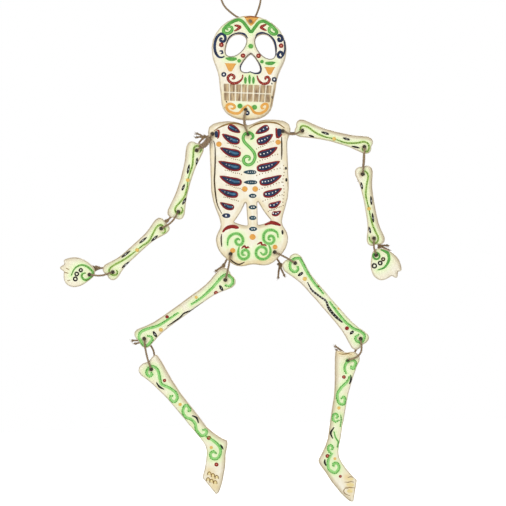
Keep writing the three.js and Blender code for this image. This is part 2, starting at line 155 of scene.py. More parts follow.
def reckoned(tree, operation, first, second):
    """A sum on two sockets or numbers, held between 0 and 1."""
    return made(tree, "Math", {0: first, 1: second}, 0, operation=operation, use_clamp=True)


def times(tree, first, second):
    return reckoned(tree, "MULTIPLY", first, second)


def ramped(tree, value, low, high, at_low=0.0, at_high=1.0, way="SMOOTHSTEP"):
    """A value that goes from one number to another between two limits."""
    given = {"Value": value, "From Min": low, "From Max": high, "To Min": at_low, "To Max": at_high}
    return made(tree, "MapRange", given, "Result", interpolation_type=way)


def measured(tree, name):
    """A measure kept on the piece's own points."""
    return made(tree, "Attribute", {}, "Fac", attribute_name=name)


def mottled(tree, scale, low=0.35, high=0.65):
    """The hand-made unevenness of twine, wood and paint: a mask of so many patches to the metre."""
    place = made(tree, "TexCoord", {}, "Object")
    given = {"Vector": place, "Scale": scale, "Detail": 5.0, "Roughness": 0.6}
    return ramped(tree, made(tree, "TexNoise", given, "Fac"), low, high, way="LINEAR")


def relief(tree, shader, height, depth):
    """Puts a height into the shader's surface, at a depth in millimetres."""
    given = {"Strength": 1.0, "Distance": depth / 1000, "Height": height}
    feed(tree, shader.inputs["Normal"], made(tree, "Bump", given, "Normal"))


jute, tree, shader = finish("jute_twine", 0.85)
fibre = mottled(tree, 1500, 0.3, 0.7)
aged = mixed(tree, mottled(tree, 70), "#8D7558", "#685238")
twine_tone = mixed(tree, fibre, aged, "#AE9471")
# Painted shade: the twine is darkened where it runs into and through the holes.
twine_tone = mixed(tree, measured(tree, "twine_shade_in_hole"), twine_tone, "#3A2B1B")
feed(tree, shader.inputs["Base Color"], twine_tone)
relief(tree, shader, fibre, 0.25)
shader.inputs["Sheen Weight"].default_value = 0.25


def flowing(points, step):
    """Places evenly along a smooth line through a few points."""
    line = []
    for i in range(len(points) - 1):
        a, b = points[max(i - 1, 0)], points[i]
        c, d = points[i + 1], points[min(i + 2, len(points) - 1)]
        count = max(1, round((c - b).length / step))
        for k in range(count):
            t = k / count
            line.append(0.5 * (2 * b + (c - a) * t + (2 * a - 5 * b + 4 * c - d) * t ** 2
                               + (3 * b - a - 3 * c + d) * t ** 3))
    return line + [points[-1]]


def add_run(curve, line, radii):
    """One run of round stuff in a curve, with its thickness in millimetres along the way."""
    run = curve.splines.new("POLY")
    run.points.add(len(line) - 1)
    for point, place, radius in zip(run.points, line, radii):
        point.co = (*place, 1.0)
        point.radius = radius


def lay_yarns(curve, line, loose, seed):
    """Three yarns twisted about a line, with stray fibres; the last bit may be frayed."""
    turns = random.Random(seed)
    sideways = (line[1] - line[0]).normalized().orthogonal().normalized()
    gone, laid, yarns = 0.0, [], [[], [], []]
    for i, place in enumerate(line):
        ahead = (line[min(i + 1, len(line) - 1)] - line[max(i - 1, 0)]).normalized()
        sideways = (sideways - ahead * sideways.dot(ahead)).normalized()
        gone += 1000 * (place - line[max(i - 1, 0)]).length
        laid.append((place, ahead, sideways, ahead.cross(sideways), gone))
    whole = gone
    for place, ahead, sideways, up, gone in laid:
        left = whole - gone
        open_out = 1 + (1.5 * (1 - left / loose) ** 2 if left < loose else 0)
        for k, yarn in enumerate(yarns):
            turn = 2 * math.pi * (gone / twine_lay + k / 3)
            reach = yarn_radius * open_out / 1000
            yarn.append(place + reach * (math.cos(turn) * sideways + math.sin(turn) * up))
    thick = [yarn_radius if whole - at[4] >= loose else frayed_radius for at in laid]
    for yarn in yarns:
        add_run(curve, yarn, thick)

    def stray(at):
        """A fibre's way out of the twine, swung so that it doesn't point into the boards."""
        place, ahead, sideways, up, gone = at
        turn = turns.uniform(0, 2 * math.pi)
        out = math.cos(turn) * sideways + math.sin(turn) * up
        return place, ahead, Vector((out.x, math.copysign(out.y, place.y), out.z))

    for n in range(frayed_hairs if loose else 0):
        place, ahead, out = stray(laid[-1 - int(turns.uniform(0, 0.25) * len(laid))])
        length = turns.uniform(1.2, 3.0) / 1000
        hair = [place + out * 0.3 / 1000, place + (ahead * 0.6 + out * 0.3) * length,
                place + (ahead + out * turns.uniform(0.2, 0.9)) * length]
        add_run(curve, hair, [0.2, 0.16, 0.07])
    for n in range(int(whole * stray_hairs)):
        place, ahead, out = stray(turns.choice(laid))
        along = ahead * turns.choice((-1, 1))
        length = turns.uniform(1.2, 3.0) / 1000
        start = place + out * 0.95 / 1000
        hair = [start, start + along * 0.5 * length + out * 0.1 * length,
                start + along * length + out * turns.uniform(0.1, 0.42) * length]
        add_run(curve, hair, [0.05, 0.04, 0.02])


def take(piece):
    """Makes one object the only one that is worked on."""
    bpy.ops.object.select_all(action="DESELECT")
    piece.select_set(True)
    bpy.context.view_layer.objects.active = piece


def round_stuff(name, fineness):
    """An empty curve whose runs come out round."""
    curve = bpy.data.curves.new(name, "CURVE")
    curve.dimensions = "3D"
    curve.bevel_depth = 0.001
    curve.bevel_resolution = fineness
    curve.use_fill_caps = True
    return curve


def made_up(curve, material):
    """The piece that the runs in a curve make, in its material."""
    piece = bpy.data.objects.new(curve.name, curve)
    scene.collection.objects.link(piece)
    take(piece)
    bpy.ops.object.convert(target="MESH")
    bpy.ops.object.shade_smooth()
    piece.data.materials.clear()
    piece.data.materials.append(material)
    return piece


def keep_measure(mesh, name, values):
    """Keeps one number on each point of a piece, for its material to use."""
    layer = mesh.attributes.get(name) or mesh.attributes.new(name, "FLOAT", "POINT")
    layer.data.foreach_set("value", np.asarray(values, dtype=np.float32))


def points_of(mesh, what="co"):
    values = np.empty(3 * len(mesh.vertices))
    mesh.vertices.foreach_get(what, values)
    return values.reshape(-1, 3)


def near_bores(mesh, reach=1.8, soft=0.35):
    """1 inside a drilled hole or at its mouth, falling to 0 at a reach from its middle."""
    place = points_of(mesh)
    away = [np.hypot(place[:, 0] - at.x, place[:, 2] - at.z) for at in joint_at.values()]
    return np.clip((reach - 1000 * np.min(away, axis=0)) / soft, 0, 1)


def wound(name, runs, hole_shading=1.0):
    """A piece of twine made of several runs; each is a line and how far its end is frayed."""
    curve = round_stuff(name, 1)
    for n, (line, loose) in enumerate(runs):
        lay_yarns(curve, line, loose, seed=n + 1)
    piece = made_up(curve, jute)
    # Painted shade on the twine in and near the holes, as strong as asked.
    keep_measure(piece.data, "twine_shade_in_hole", hole_shading * near_bores(piece.data))
    return piece


def coil(centre, axis, radius, length, turns):
    """The turns of a knot, as a line about an axis."""
    axis = axis.normalized()
    sideways = axis.orthogonal().normalized()
    up = axis.cross(sideways)
    count = int(14 * turns)
    line = []
    for i in range(count + 1):
        t = i / count
        turn = 2 * math.pi * turns * t
        ring = math.cos(turn) * sideways + math.sin(turn) * up
        line.append(centre + (ring * radius + axis * (t - 0.5) * length) / 1000)
    return line


def on_loop(x, share, up):
    return hung(x, share * loop_back, up - crown_depth)


loop_line = flowing([on_loop(*at) for at in (
    (4.2, -1, 0), (4.2, 0, 0), (4.2, 0.8, 0), (3, 1, 1.1), (-2, 1, 3.2), (-7.3, 1, 5.1),
    (-12.7, 1, 8.3), (-20.5, 0.92, 15.1), (-24.4, 0.8, 0.31 * loop_rise),
    (-26, 0.64, 0.43 * loop_rise), (-25.4, 0.5, 0.56 * loop_rise), (-22, 0.34, 0.71 * loop_rise),
    (-15.4, 0.16, 0.87 * loop_rise), (-7.4, 0.04, 0.97 * loop_rise), (0, 0, loop_rise),
    (6.8, 0.05, 0.96 * loop_rise), (11.8, 0.18, 0.85 * loop_rise), (14.9, 0.36, 0.69 * loop_rise),
    (15.8, 0.54, 0.53 * loop_rise), (15.4, 0.7, 0.4 * loop_rise), (14.2, 0.84, 0.28 * loop_rise),
    (12.6, 1, 14), (9.6, 1.04, 6.6), (6.8, 1.08, 3.2),
)], twine_step)
hanger = wound("hanging_loop", [(loop_line, 0.0)])
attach(hanger, "hanger_loop")
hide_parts("hanger_loop")
# The crown knots take a quarter of that painted shade.
stopper = wound("crown_knots", [
    (coil(hung(4.2, -9.3, -crown_depth), Vector((0, 1, 0)), 0.95, 0.8, 1.6), 0.0),
    (coil(hung(5.2, 10.0, 2 - crown_depth), Vector((0.8, 0, 0.6)), knot_girth, 5.0, 2.6), 0.0),
], hole_shading=0.25)
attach(stopper, "hanger_loop")
loop_length = sum((b - a).length for a, b in zip(loop_line, loop_line[1:]))
tuple(loop_line[0])
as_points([tuple(place) for place in loop_line[::4]] + [tuple(loop_line[-1])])

# Skull: a thick board sawn to a head, with eyes and nose cut through and two rows of teeth scraped
# out of the face. It is painted cream and rubbed back so that tan wood shows at every edge. Painted
# shade greys the edges on one side of each board and darkens the insides of the holes.
worn_reach, knife_depth = 0.012, 0.0004
boards = {}


def figured(tree, place, scale, detail, distortion, low, high):
    """The wood's figure at one scale, drawn out along the board."""
    given = {"Vector": place, "Scale": scale, "Detail": detail, "Distortion": distortion}
    return ramped(tree, made(tree, "TexNoise", given, "Fac"), low, high)


painted_wood, tree, shader = finish("cream_painted_wood", 0.5)
rim, front, banded = measured(tree, "rim"), measured(tree, "front"), measured(tree, "banded")
across, along, deep = (measured(tree, name) for name in ("across", "along", "deep"))
in_board = made(tree, "CombineXYZ", {"X": across, "Y": along, "Z": deep}, "Vector")
grain = figured(tree, in_board, 620, 5, 0.6, 0.36, 0.7)
growth = figured(tree, in_board, 130, 3, 1.2, 0.35, 0.65)
# Painted shade on the edges of one side of each board, the side set by its light.
halo, shaded_side = measured(tree, "halo"), measured(tree, "shaded_side")
bled = times(tree, reckoned(tree, "POWER", halo, 3.4), mottled(tree, 210, 0.25, 0.6))
band = times(tree, ramped(tree, rim, 2.6, 5.4, 0.75, 0.0), banded)
edge = times(tree, ramped(tree, rim, 0.0, 1.3, 0.95, 0.0), mottled(tree, 240, 0.25, 0.6))
# Rubbed edges are dark with wear, and darker still on the side given painted shade.
rubbed_and_shaded = reckoned(tree, "ADD", reckoned(tree, "ADD", banded, 0.32), shaded_side)
sawn = mixed(tree, growth, "#E9DEC9", "#D8C5A3")
sawn = mixed(tree, times(tree, grain, 0.6), sawn, "#C2A981")
behind = mixed(tree, growth, "#E2CBA4", "#CFAF80")
behind = mixed(tree, times(tree, grain, 0.55), behind, "#A98657")
ground = mixed(tree, mottled(tree, 45), "#FAF6E8", "#F3EACF")
for share, coat in (
        (times(tree, grain, 0.3), "#EADFC0"),
        (times(tree, mottled(tree, 160, 0.5, 0.75), 0.6), "#FDFBF2"),
        (times(tree, halo, 0.85), "#F0FACB"),
        (times(tree, bled, 0.6), "#CBEDA3"),
        # A tan tint along some strokes; at the left shin's top it is painted shade.
        (times(tree, measured(tree, "tan_tint_and_shade"), mottled(tree, 120, 0.1, 0.6)), "#EDD8A0"),
        (times(tree, band, mottled(tree, 150, 0.15, 0.6)), "#EAD8AC"),
        # Painted shade: the edges on one side of each board are greyed.
        (times(tree, ramped(tree, rim, 1.2, 4.2, 0.85, 0.0), shaded_side), "#C3B391"),
        (times(tree, edge, rubbed_and_shaded), "#836A45"),
        (ramped(tree, front, 0.3, 0.75, 1.0, 0.0), sawn),
        (ramped(tree, front, -0.75, -0.45, 1.0, 0.0), behind),
        (measured(tree, "tooth"), mixed(tree, grain, "#CDB489", "#73563A")),
        # Painted shade in the holes; on the skull also a dark line round the eyes and nose.
        (measured(tree, "hole_shade_and_rim_line"), "#46331F")):
    ground = mixed(tree, share, ground, coat)
feed(tree, shader.inputs["Base Color"], ground)
feed(tree, shader.inputs["Roughness"], ramped(tree, grain, 0.0, 1.0, 0.46, 0.6))
uneven = reckoned(tree, "ADD", times(tree, grain, 0.5), times(tree, mottled(tree, 300), 0.5))
relief(tree, shader, uneven, 0.22)

# Twine bunched in each hole and a ring inside it, in a dark twine colour as painted shade.
hole_shade_jute, tree, shader = finish("dark_twine_for_hole_shade", 0.9)
fluff = mixed(tree, mottled(tree, 900), "#4E3C28", "#775F43")
feed(tree, shader.inputs["Base Color"], fluff)

knife_marks = bpy.data.textures.new("knife_marks", "CLOUDS")
knife_marks.noise_scale = 0.012
knife_marks.noise_depth = 1


def rasp(piece, name, passes, shares):
    """Smooths a board's points, each by its own share."""
    group = piece.vertex_groups.new(name=name)
    for i, share in enumerate(shares):
        group.add([i], share, "REPLACE")
    soft = piece.modifiers.new(name, "SMOOTH")
    soft.factor = 0.5
    soft.iterations = passes
    soft.vertex_group = group.name
    return soft


def soften(piece, voxel, passes, worn):
    """Evens a board's skin, then works its edges with rasp and knife; one corner may be worn."""
    take(piece)
    bpy.ops.object.mode_set(mode="EDIT")
    bpy.ops.mesh.select_all(action="SELECT")
    bpy.ops.mesh.remove_doubles(threshold=1e-6)
    bpy.ops.object.mode_set(mode="OBJECT")
    even = piece.modifiers.new("even_skin", "REMESH")
    even.mode = "VOXEL"
    even.voxel_size = voxel
    bpy.ops.object.modifier_apply(modifier=even.name)
    rasp(piece, "rasped", passes, 1 - 0.7 * near_bores(piece.data, 3.4, 0.9))
    if worn:
        away = [math.hypot(v.co.x - worn.x, v.co.z - worn.z) for v in piece.data.vertices]
        corner = rasp(piece, "worn_corner", 400, [max(0.0, 1 - a / worn_reach) for a in away])
        corner.use_y = False
    worked = piece.modifiers.new("knife_work", "DISPLACE")
    worked.texture = knife_marks
    worked.texture_coords = "LOCAL"
    worked.strength = knife_depth
    for step in [modifier.name for modifier in piece.modifiers]:
        bpy.ops.object.modifier_apply(modifier=step)
    bpy.ops.object.shade_smooth()


def finder(places):
    """A means to find the nearest of some places."""
    near = KDTree(len(places))
    for i, place in enumerate(places):
        near.insert(place, i)
    near.balance()
    return near


def measure(mesh, head, foot, light, band):
    """Keeps on a board's points all that its grain, its paint and its painted shade go by."""
    place, facing = points_of(mesh), points_of(mesh, "normal")
    sides = np.flatnonzero(np.abs(facing[:, 1]) < 0.5)
    nearest = finder([(place[i][0], 0.0, place[i][2]) for i in sides])
    found = [nearest.find((p[0], 0.0, p[2])) for p in place]
    outwards = facing[sides[[i for at, i, away in found]]]
    way, from_head = (foot - head).normalized(), place - np.array(head)
    measures = {
        "rim": [1000 * away for at, i, away in found],
        # Painted shade: how much each edge faces the side set by the board's light.
        "shaded_side": np.clip(outwards[:, 0] * light[0] + outwards[:, 2] * light[1], 0, 1),
        "banded": np.full(len(place), band),
        # Painted shade inside and at the mouth of each hole.
        "hole_shade_and_rim_line": near_bores(mesh),
        "front": -facing[:, 1],
        "along": 0.1 * from_head @ np.array(way),
        "across": from_head @ np.array((-way.z, 0.0, way.x)),
        "deep": place[:, 1],
    }
    for name in ("halo", "tan_tint_and_shade", "tooth"):
        measures[name] = np.zeros(len(place))
    for name, values in measures.items():
        keep_measure(mesh, name, values)


def line_holes(node):
    """A dark ring inside each hole of a board, standing in for the shade deep in the hole."""
    hole_shade_ring = bpy.data.objects.new(node + "_lint", bpy.data.meshes.new(node + "_lint"))
    scene.collection.objects.link(hole_shade_ring)
    take(hole_shade_ring)
    bpy.ops.object.mode_set(mode="EDIT")
    for joint in frame["joints"]:
        if node in (joint["parent"], joint["child"]):
            bpy.ops.mesh.primitive_torus_add(
                location=joint_at[joint["name"]], rotation=(math.pi / 2, 0, 0),
                major_segments=32, minor_segments=8, major_radius=0.0016, minor_radius=0.00036)
    bpy.ops.object.mode_set(mode="OBJECT")
    bpy.ops.object.shade_smooth()
    hole_shade_ring.data.materials.append(hole_shade_jute)
    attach(hole_shade_ring, node)


def carve(node, head, foot, light, band=0.25, voxel=0.0006, passes=14, worn=None):
    """One sawn board, softened, measured for paint and painted shade, with rings in its holes."""
    piece = bpy.data.objects.new(node + "_wood", frame["nodes"][node].data.copy())
    scene.collection.objects.link(piece)
    soften(piece, voxel, passes, worn)
    piece.data.materials.clear()
    piece.data.materials.append(painted_wood)
    measure(piece.data, head, foot, light, band)
    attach(piece, node)
    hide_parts(node)
    line_holes(node)
    boards[node] = piece


# Paint: craft colours laid on by brush, thick enough to stand a little proud of the wood.
paints, pots = {}, {}


def mix_paint(name, main, other):
    """One colour of paint, streaked with another tone."""
    material, tree, shader = finish(name + "_paint", 0.5)
    streaks = mottled(tree, 620, 0.35, 0.7)
    tone = mixed(tree, mottled(tree, 170, 0.44, 0.78), main, other)
    tone = mixed(tree, times(tree, streaks, 0.55), tone, other)
    feed(tree, shader.inputs["Base Color"], tone)
    feed(tree, shader.inputs["Roughness"], ramped(tree, streaks, 0.0, 1.0, 0.4, 0.65))
    relief(tree, shader, streaks, 0.2)
    shader.inputs["Specular IOR Level"].default_value = 0.25
    paints[name] = material


mix_paint("green", "#3F9034", "#6FB856")
mix_paint("spring", "#78C45F", "#9CD983")
mix_paint("lime", "#A3C45E", "#C2DC86")
mix_paint("mint", "#86CE6A", "#ABE392")
mix_paint("navy", "#101930", "#263A62")
mix_paint("sky", "#2E5B7C", "#5288A6")
mix_paint("olive", "#466E20", "#6B9638")
mix_paint("red", "#7D110E", "#9C281E")
mix_paint("rose", "#E2967A", "#D67C62")
mix_paint("rust", "#8A4A1E", "#B06A30")
mix_paint("orange", "#E9AE57", "#DE9840")
mix_paint("yellow", "#E3B854", "#EBCB7C")
mix_paint("straw", "#F5E5AC", "#EAD28E")
mix_paint("teal", "#142F3A", "#335A69")
mix_paint("black", "#0F0D0C", "#2A2520")
mix_paint("white", "#F9F7EF", "#DDE6EC")
mix_paint("ochre", "#7C5C25", "#A07C3C")
mix_paint("brown", "#372815", "#5A462A")

pale_greens = ("green", "spring", "lime", "mint")
kept_on_face = pale_greens + ("olive",)
brush_step, layer_gap, hole_margin = 0.4, 0.1, 0.0019
paint_press, paint_rise, paint_sunk, paint_root, layer_rise = 0.4, 0.24, 0.3, 0.06, 0.14


def put(colour, line, radii, lift=0):
    """Keeps a mark in its colour's pot: its line, its half widths and the layer it lies in."""
    pots.setdefault(colour, []).append((line, radii, lift))


def stroke(colour, width, places, thin=(0.25, 0.25), lift=0):
    """A brush stroke through places in the picture; thin is the share that swells at each end."""
    line = flowing([Vector((x, y)) for x, y in places], brush_step)
    gone = [0.0]
    for a, b in zip(line, line[1:]):
        gone.append(gone[-1] + (b - a).length)
    radii = []
    for at in gone:
        swell = 1.0
        for near, share in ((at, thin[0]), (gone[-1] - at, thin[1])):
            if share and near < share * gone[-1]:
                swell = min(swell, 0.45 + 0.55 * near / (share * gone[-1]))
        radius = swell * width / 2
        near = min(at, gone[-1] - at, radius) + 0.02
        radii.append(math.sqrt(max(0.001, radius ** 2 - max(0.0, radius - near) ** 2)))
    put(colour, line, radii, lift)


def dot(colour, x, y, radius, lift=0):
    turns = [math.pi * (i / 10 - 0.5) for i in range(11)]
    line = [Vector((x + radius * math.sin(turn), y)) for turn in turns]
    put(colour, line, [max(0.05, radius * math.cos(turn)) for turn in turns], lift)


def dots(colour, *spots):
    for x, y, radius in spots:
        dot(colour, x, y, radius)


def beads(colour, places, gap, radius, outer=0.0):
    """Dots at even gaps along a stroke or beside its outer edge, as with a brush handle's end."""
    line, gone = flowing([Vector(place) for place in places], 0.2), 0.0
    hand = random.Random(len(line))
    bends = sum((b - a).cross(c - b) for a, b, c in zip(line, line[1:], line[2:]))
    for a, b in zip(line, line[1:]):
        before, gone = gone, gone + (b - a).length
        if before // gap != gone // gap:
            aside = Vector((b.y - a.y, a.x - b.x)).normalized() * math.copysign(outer, bends)
            off = [b[i] + aside[i] + hand.uniform(-0.16, 0.16) for i in (0, 1)]
            dot(colour, *off, radius * hand.uniform(0.78, 1.12), lift=1)


def scroll(width, places, thin, bead=0.7, gap=1.7, dotted="green"):
    """A light green scroll with a row of darker dots along it."""
    stroke("spring", width, places, thin)
    beads(dotted, places, gap, bead)


def eyed(colour, pupil, *spots):
    """Dots with a smaller dot of another colour in each."""
    for x, y, radius in spots:
        dot(colour, x, y, radius)
        dot(pupil, x, y, 0.34 * radius, lift=1)


def ring(colour, x, y, radius, width):
    turns = [2 * math.pi * i / 20 for i in range(22)]
    line = [Vector((x + radius * math.cos(t), y + radius * math.sin(t))) for t in turns]
    put(colour, line, [width / 2] * len(line))


def leaf(colour, tip, blunt, width, sag=0.0, lift=0, full=0.66):
    """A leaf from its sharp tip to its blunt end, fullest at a share of its length."""
    tip, blunt = Vector(tip), Vector(blunt)
    middle = (tip + blunt) / 2 + Vector((0, sag))
    line = flowing([tip, middle, blunt], brush_step)
    radii = []
    for i in range(len(line)):
        t = i / (len(line) - 1)
        if t < full:
            share = math.sin(0.5 * math.pi * t / full) ** 0.85
        else:
            share = math.sqrt(max(0.0, 1 - ((t - full) / (1 - full)) ** 2))
        radii.append(max(0.06, width / 2 * share))
    put(colour, line, radii, lift)
    return line


def wedge(colour, top, foot, width, end):
    """A stroke that narrows evenly from its top to its foot."""
    line = flowing([Vector(top), Vector(foot)], brush_step)
    count = len(line) - 1
    put(colour, line, [(width + (end - width) * i / count) / 2 for i in range(count + 1)])


def away_from(mesh, places):
    """How far each point of a board is from the nearest of some places, in millimetres."""
    nearest = finder(places)
    return np.array([1000 * nearest.find((v.co.x, 0.0, v.co.z))[2] for v in mesh.vertices])


def soak(mesh, name, colours, reach):
    """Marks the wood that has taken up the tint of the strokes of some colours."""
    strokes = [run for colour in colours for run in pots.get(colour, [])]
    laid = [spot(*place) for line, radii, lift in strokes for place in line]
    if laid:
        keep_measure(mesh, name, np.exp(-np.square(np.float32(away_from(mesh, laid) / reach))))


def edge_keeper(mesh):
    """Draws a place in a stroke in from a board's edge until the stroke lies on its face."""
    bores = near_bores(mesh, 2.6, 0.1)
    sides = [v for v in mesh.vertices if abs(v.normal.y) < 0.5 and not bores[v.index]]
    edge = finder([(v.co.x, 0.0, v.co.z) for v in sides])

    def drawn_in(place, radius):
        at, i, away = edge.find(place)
        out = Vector((sides[i].normal.x, 0.0, sides[i].normal.z)).normalized()
        over = (place - at).dot(out) + (radius + 0.5) / 1000
        return place - out * max(0.0, over) if away < 0.005 else place

    return drawn_in


def skin_of(mesh):
    return BVHTree.FromPolygons([v.co for v in mesh.vertices], [p.vertices for p in mesh.polygons])


def seated(point, skin, face):
    """A point of a stroke, pressed on the wood in its layer and kept out of the holes."""
    layer = round(-point.y / layer_gap)
    proud = -1000 * point.y - 1000 * layer_gap * layer
    pressed = 1 - math.exp(-abs(proud) / paint_press)
    height = (paint_rise if proud > 0 else -paint_sunk) * pressed - paint_root + layer_rise * layer
    x, z = point.x, point.z
    for at in joint_at.values():
        away = math.hypot(x - at.x, z - at.z)
        if 0 < away < hole_margin:
            x = at.x + (x - at.x) * hole_margin / away
            z = at.z + (z - at.z) * hole_margin / away
    hit, out = skin.ray_cast(Vector((x, -0.05, z)), Vector((0, 1, 0)))[:2]
    if hit is None or hit.y > 0:
        hit, out = skin.find_nearest(Vector((x, face, z)))[:2]
    return hit + out * height / 1000


def lay_paint(node):
    """Lays all that is in the pots on a board's face, one piece for each colour."""
    mesh = boards[node].data
    skin, drawn_in = skin_of(mesh), edge_keeper(mesh)
    face = min(v.co.y for v in mesh.vertices) + 0.0004
    soak(mesh, "halo", pale_greens, 5.0)
    soak(mesh, "tan_tint_and_shade", ("tan_tint_and_shade",), 4.0)
    pots.pop("tan_tint_and_shade", None)
    for colour, strokes in pots.items():
        curve = round_stuff(node + "_" + colour + "_paint", 3)
        for line, radii, lift in strokes:
            places = [spot(*place) for place in line]
            if colour in kept_on_face:  # dots and rings are moved as a whole
                middle, widest = sum(places, Vector()) / len(places), max(radii)
                if (places[-1] - places[0]).length < 0.0021 * widest:
                    places = [place + drawn_in(middle, widest) - middle for place in places]
                else:
                    places = [drawn_in(place, radius) for place, radius in zip(places, radii)]
            add_run(curve, [place - Vector((0, layer_gap * lift, 0)) for place in places], radii)
        piece = made_up(curve, paints[colour])
        for v in piece.data.vertices:
            v.co = seated(v.co, skin, face)
        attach(piece, node)
    pots.clear()


crown, chin = joint_at["skull_swing"], joint_at["neck_tie_swing"]
carve("skull", crown, chin, (0.5, -0.2), 0.2, 0.00045, 3)
skull = boards["skull"].data
cut_face = skin_of(frame["nodes"]["skull"].data)
teeth_top, teeth_foot, teeth_half, scraped_to = 0.058, 0.086, 0.028, -0.006
teeth = []
for v in skull.vertices:
    share, down, aside = 0.0, (crown - v.co).z, abs(v.co.x - crown.x)
    if teeth_top < down < teeth_foot and v.co.y < scraped_to and aside < teeth_half:
        for x, z in ((-0.2, -0.2), (-0.2, 0.2), (0.2, -0.2), (0.2, 0.2)):
            above = Vector((v.co.x + x / 1000, -0.05, v.co.z + z / 1000))
            hit = cut_face.ray_cast(above, Vector((0, 1, 0)))[0]
            share += 0.25 * float(hit is not None and -0.0073 < hit.y < scraped_to)
    teeth.append(share)
keep_measure(skull, "tooth", teeth)

wedge("orange", (251.4, 17.6), (250.8, 26.4), 17, 1)
stroke("rust", 1.5, [(244.6, 18.2), (251.4, 17.4), (258.4, 18.2)], (0.2, 0.2), lift=1)
for places in (
        [(251, 33.6), (246, 26.4), (241.9, 21.8), (236.9, 20.2), (232.4, 22.3), (226, 27.3),
         (223.7, 30.5), (224.2, 33.2), (227.8, 34.1), (231.5, 31.8), (231.9, 28.2), (228.7, 27.3),
         (226.8, 29.5), (228.6, 31)],
        [(251, 33.6), (255.5, 27.3), (259.2, 23), (264.2, 21.9), (269.2, 24.4), (274.3, 29.4),
         (276.6, 32.2), (275.8, 34.4), (272.6, 34.6), (269.4, 32), (269.3, 28.8), (272.2, 27.6),
         (274.2, 29.6), (272.8, 31)]):
    stroke("green", 3.3, places, (0, 0.2))
    stroke("spring", 0.9, places[6:], (0.3, 0.2), lift=1)
for places in (
        [(234.2, 25.9), (240.1, 27.4), (238.3, 29.5), (234.2, 31.8)],
        [(266.5, 25), (261, 27.7), (263, 29.6), (266.9, 31.4)]):
    stroke("red", 2.7, places, (0.2, 0.3))
    beads("rose", places, 2.1, 0.4)
stroke("navy", 2.9, [
    (223, 39.6), (221, 38.8), (220.4, 41), (223.3, 42.2), (225.4, 40), (224.6, 35.9), (221, 34.5),
    (216.9, 38.2), (214.8, 45.5), (215.6, 52.7), (218.7, 57.3), (222.4, 57.9),
    (224.6, 56.6)], (0.1, 0.2))
stroke("navy", 1.8, [(219.2, 51.8), (221.9, 51.6), (222.6, 53.6), (220.5, 54.5)])
stroke("navy", 2.9, [
    (277, 37), (279.6, 35.9), (281.9, 37.8), (281.7, 40.8), (279.2, 41.6), (278.4, 39.6),
    (280.2, 39)], (0.1, 0.1))
stroke("navy", 1.8, [
    (282.2, 37.6), (284.3, 42.4), (284.9, 49.1), (283.6, 54.8), (280.6, 58.8)], (0.3, 0.1))
stroke("navy", 2.9, [
    (282, 58.6), (278.6, 57.5), (278, 54.7), (280.1, 52.6), (282.2, 53.8), (281.3, 56)], (0.2, 0.2))
eyed("red", "rose", (221.5, 45.5, 2.4), (281, 46.3, 2.4), (243, 56.2, 2.4), (258.5, 56.4, 2.4))
dots(
    "green", (250.8, 46.8, 2.5), (239.2, 61.4, 1.9), (261.9, 62.2, 1.9), (240, 106.5, 2.6),
    (254.5, 107.7, 2.6))
leaf("green", (225.4, 58.8), (237, 59.3), 4, 0.6, full=0.5)
leaf("green", (275.6, 63), (265, 63.6), 3.8, 0.6, full=0.5)
wedge("orange", (230.6, 63.9), (230.3, 72), 12.6, 2.4)
wedge("orange", (269.7, 67.6), (269.6, 75), 11.4, 2.4)
eyed("navy", "white", (223.9, 75, 2.6), (274.2, 80, 2.6), (247.2, 113.4, 2.6))
for places in (
        [(242.8, 75), (241.9, 79.5), (237.8, 83), (232.8, 83.8), (228.9, 81.3), (228, 77.7),
         (231, 75.2), (234, 76.6), (234, 79), (231.8, 79.2)],
        [(256.9, 75.9), (258.7, 80.9), (262.8, 84.2), (267.6, 83.4), (269.4, 80), (267.6, 77.5),
         (265.3, 78.6), (265.7, 80.7)]):
    stroke("red", 2.8, places, (0.3, 0.1))
    beads("rose", places, 1.9, 0.42)
for x, top in ((245.4, 77.7), (249.5, 75.8), (253.4, 77.7)):
    leaf("green", (x, top - 0.6), (x, 84.4), 2.8, full=0.45)
stroke("orange", 2.7, [
    (230.5, 108.4), (233.2, 109.2), (234.8, 107.4), (233.4, 105.2), (229.8, 104.4), (227, 106),
    (227, 109), (229.8, 112), (235.1, 113.8), (239.4, 113.2), (243, 109.4),
    (247.8, 105.2)], (0.1, 0.1))
stroke("orange", 2.7, [
    (247.8, 105.2), (251.3, 108.4), (254.2, 112.6), (259.6, 113.9), (264.9, 111.4), (267.2, 108.2),
    (267.2, 105.2), (264.4, 104.4), (261.7, 106.4), (262.1, 108.8), (264.4, 108.6)], (0.1, 0.1))
for a, b in (
        ((271.9, 96.2), (272, 99.4)), ((225.8, 101.6), (227.4, 103)), ((271.4, 83.2), (272.2, 85))):
    stroke("black", 1.2, [a, b])
right_eye = [
    (248.3, 39.1), (245.7, 35), (240.5, 33.2), (234, 34.4), (228.7, 38.2), (226, 44.4),
    (224.6, 50.9), (225.2, 56), (231.5, 57.8), (238, 56), (243.7, 51.2), (247.1, 45.6),
    (248.3, 39.1)]
left_eye = [
    (255, 39.1), (256.6, 34.6), (262.4, 33), (269.9, 36), (274.8, 41.5), (276.4, 49.1), (276, 56.7),
    (271.7, 60), (264.9, 59.1), (259.2, 54), (256, 47.5), (255, 39.1)]
nose = [
    (250.1, 53.9), (255.5, 59.2), (259.7, 64.3), (261.6, 69.5), (260, 73.8), (255.1, 74.3),
    (250.5, 72.8), (246, 73.2), (242, 71.2), (240, 66.8), (243, 62.4), (247, 57.8), (250.1, 53.9)]
for outline, width in ((right_eye[:6], 1.7), (left_eye[:7], 2.0), (nose, 1.7)):
    corners = [Vector(place) for place in outline]
    middle = sum(corners, Vector((0, 0))) / len(corners)
    inwards = [place.lerp(middle, 0.6 / (middle - place).length) for place in corners]
    stroke("navy", width, inwards, (0.2, 0.2))
